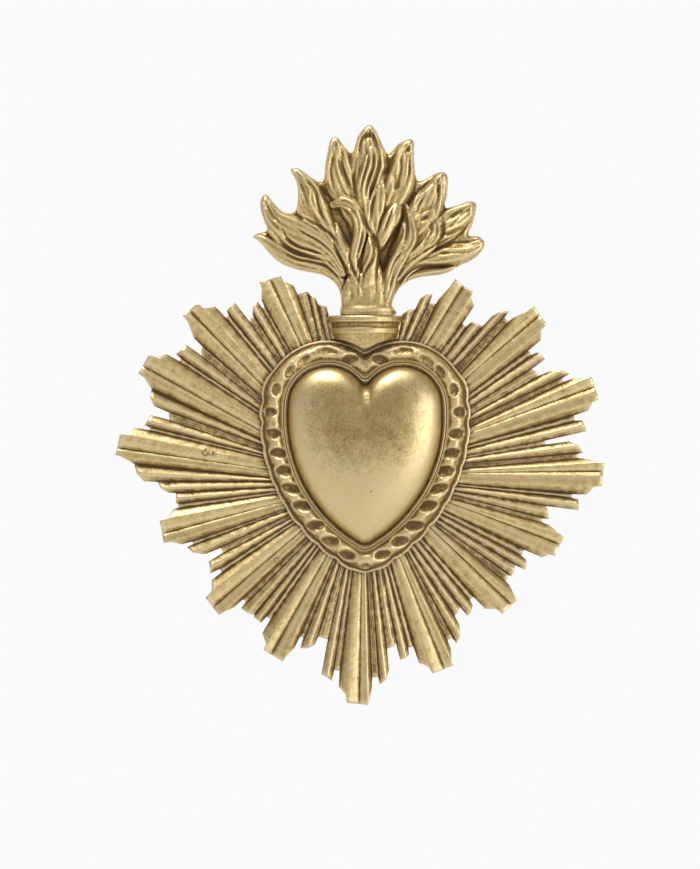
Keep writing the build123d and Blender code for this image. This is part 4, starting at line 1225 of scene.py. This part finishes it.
def brass(name, patina, bright, warm, depth, speckle, bump):
    """A brass material with its own colours and amount of patina."""
    material = bpy.data.materials.new(name)
    material.use_nodes = True
    tree = material.node_tree
    shader = tree.nodes["Principled BSDF"].inputs
    place = add(tree, "TexCoord").outputs["Object"]
    recess, edge = (
        add(tree, "Attribute", attribute_name=mask).outputs["Fac"]
        for mask in ("recess", "edge"))
    made = add(tree, "Group", node_tree=patina)
    fill(tree, made.inputs, (place, recess, edge, (*bright, 1), (*warm, 1), depth, speckle))
    lumps = add(tree, "Bump")
    lumps.inputs["Strength"].default_value = 1.0
    lumps.inputs["Distance"].default_value = bump * mm
    tree.links.new(made.outputs["Height"], lumps.inputs["Height"])
    tree.links.new(lumps.outputs["Normal"], shader["Normal"])
    tree.links.new(made.outputs["Colour"], shader["Base Color"])
    tree.links.new(made.outputs["Roughness"], shader["Roughness"])
    tree.links.new(made.outputs["Metallic"], shader["Metallic"])
    return material


# Make the pieces

# Swells: size and strength in millimetres
plate = ray_plate()
roughen(plate, 1.5, 0.12)
roughen(plate, 0.6, 0.06)
plate = add_nodules(plate)
rim = heart_frame()
roughen(rim, 1.9, 0.24)
roughen(rim, 0.7, 0.08)
bezel = bezel_ring()
dome = puffed_heart()
crest = flame_crest()
# Pieces that are only worn: voxel in millimetres and rounds of smoothing
collar = rounded_copy("collar_cup", "collar_dressed", 0.16, 3)
pan = rounded_copy("back_pan", "back_pan_dressed", 0.3, 3)
strap = rounded_copy("hanger_strap", "strap_dressed", 0.1, 3)
loop = rounded_copy("hanger_loop", "loop_dressed", 0.12, 2)
studs = rounded_copy("pan_rivets", "pan_rivets_dressed", 0.1, 4)
neck_studs = rounded_copy("neck_rivets", "neck_rivets_dressed", 0.1, 4)

dressed = [
    (plate, "ray_plate", "ornament", "gilt_brass"),
    (rim, "scalloped_frame", "ornament", "gilt_brass"),
    (bezel, "bezel_wire", "ornament", "gilt_brass"),
    (dome, "heart_dome", "ornament", "satin_brass"),
    (crest, "flame_crest", "ornament", "gilt_brass"),
    (collar, "collar_cup", "ornament", "gilt_brass"),
    (pan, "back_pan", "ornament", "plain_brass"),
    (strap, "hanger_strap", "ornament", "plain_brass"),
    (studs, "pan_rivets", "ornament", "rivet_brass"),
    (neck_studs, "neck_rivets", "ornament", "rivet_brass"),
    (loop, "hanger_loop", "loop", "wire_brass"),
]

recess_mask([row[0] for row in dressed])
# A brown haze and painted shade over the puffed heart's upper half
add_haze_and_shade(dome)
for piece, *_ in dressed:
    edge_mask(piece)

# Each finish: bright and warm colours, depth of patina, speckle and lumps in millimetres
looks = {
    "gilt_brass": ((0.80, 0.62, 0.32), (0.52, 0.365, 0.14), 1.0, 0.75, 0.09),
    "satin_brass": ((0.80, 0.63, 0.35), (0.46, 0.33, 0.13), 0.9, 0.5, 0.02),
    "plain_brass": ((0.55, 0.42, 0.20), (0.36, 0.25, 0.09), 1.0, 0.8, 0.09),
    "rivet_brass": ((0.60, 0.46, 0.22), (0.40, 0.28, 0.10), 1.0, 0.5, 0.09),
    "wire_brass": ((0.66, 0.52, 0.27), (0.42, 0.30, 0.11), 1.0, 0.4, 0.09),
}
patina = patina_group()
finishes = {slot: brass(slot + "_old", patina, *look) for slot, look in looks.items()}
for piece, node, body, slot in dressed:
    keep_inside(piece, cad_box)
    piece.data.materials.clear()
    piece.data.materials.append(finishes[slot])
    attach(piece, body)
    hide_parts(node)

# Floor, light and camera

floor_z = -0.12
floor_grey = (0.82, 0.82, 0.81, 1)
background = 0.955
low_sky, high_sky = 0.91, 0.30
camera_distance = 1.2
camera_x, camera_z = -0.003, 0.0087
photo_height = 0.1738

bpy.ops.object.select_all(action="DESELECT")
bpy.ops.mesh.primitive_circle_add(
    vertices=96, radius=0.5, fill_type="NGON", location=(0, -0.2, floor_z))
floor = bpy.context.active_object
floor.name = "pale_floor"
pale = bpy.data.materials.new("pale_floor")
pale.use_nodes = True
pale.node_tree.nodes["Principled BSDF"].inputs["Base Color"].default_value = floor_grey
pale.node_tree.nodes["Principled BSDF"].inputs["Roughness"].default_value = 0.8
floor.data.materials.append(pale)


def area_light(name, place, target, size, power):
    bpy.ops.object.light_add(type="AREA", location=place)
    lamp = bpy.context.active_object
    lamp.name = name
    lamp.data.size = size
    lamp.data.energy = power
    lamp.rotation_euler = (Vector(target) - Vector(place)).to_track_quat("-Z", "Y").to_euler()


middle = (0, 0, 0.01)
area_light("key", (-0.15, -0.20, 0.80), middle, 0.45, 5)
area_light("fill", (0.6, -0.5, 0.1), middle, 0.5, 1.8)

# The metal reflects a sky that darkens upwards and, past the object, the pale background, which
# is all that the camera sees.
world = bpy.data.worlds.new("studio")
bpy.context.scene.world = world
world.use_nodes = True
sky = world.node_tree
way = add(sky, "TexCoord")
split = add(sky, "SeparateXYZ")
sky.links.new(way.outputs["Generated"], split.inputs[0])
level = spread(sky, split.outputs["Z"], -0.45, 0.5, low_sky, high_sky)
past = spread(sky, split.outputs["Y"], 0.2, 0.9)
seen = add(sky, "LightPath").outputs["Is Camera Ray"]
for share in (past, seen):
    level = maths(sky, "MAXIMUM", level, maths(sky, "MULTIPLY", share, background))
sky.links.new(level, sky.nodes["Background"].inputs["Color"])

bpy.ops.object.camera_add(
    location=(camera_x, -camera_distance, camera_z), rotation=(math.pi / 2, 0, 0))
camera = bpy.context.active_object
camera.name = "photo_camera"
camera.data.sensor_width = 36
camera.data.lens = camera.data.sensor_width * camera_distance / photo_height
camera.data.clip_start = 0.01
camera.data.clip_end = 10
scene = bpy.context.scene
scene.camera = camera
scene.view_settings.view_transform = "Standard"
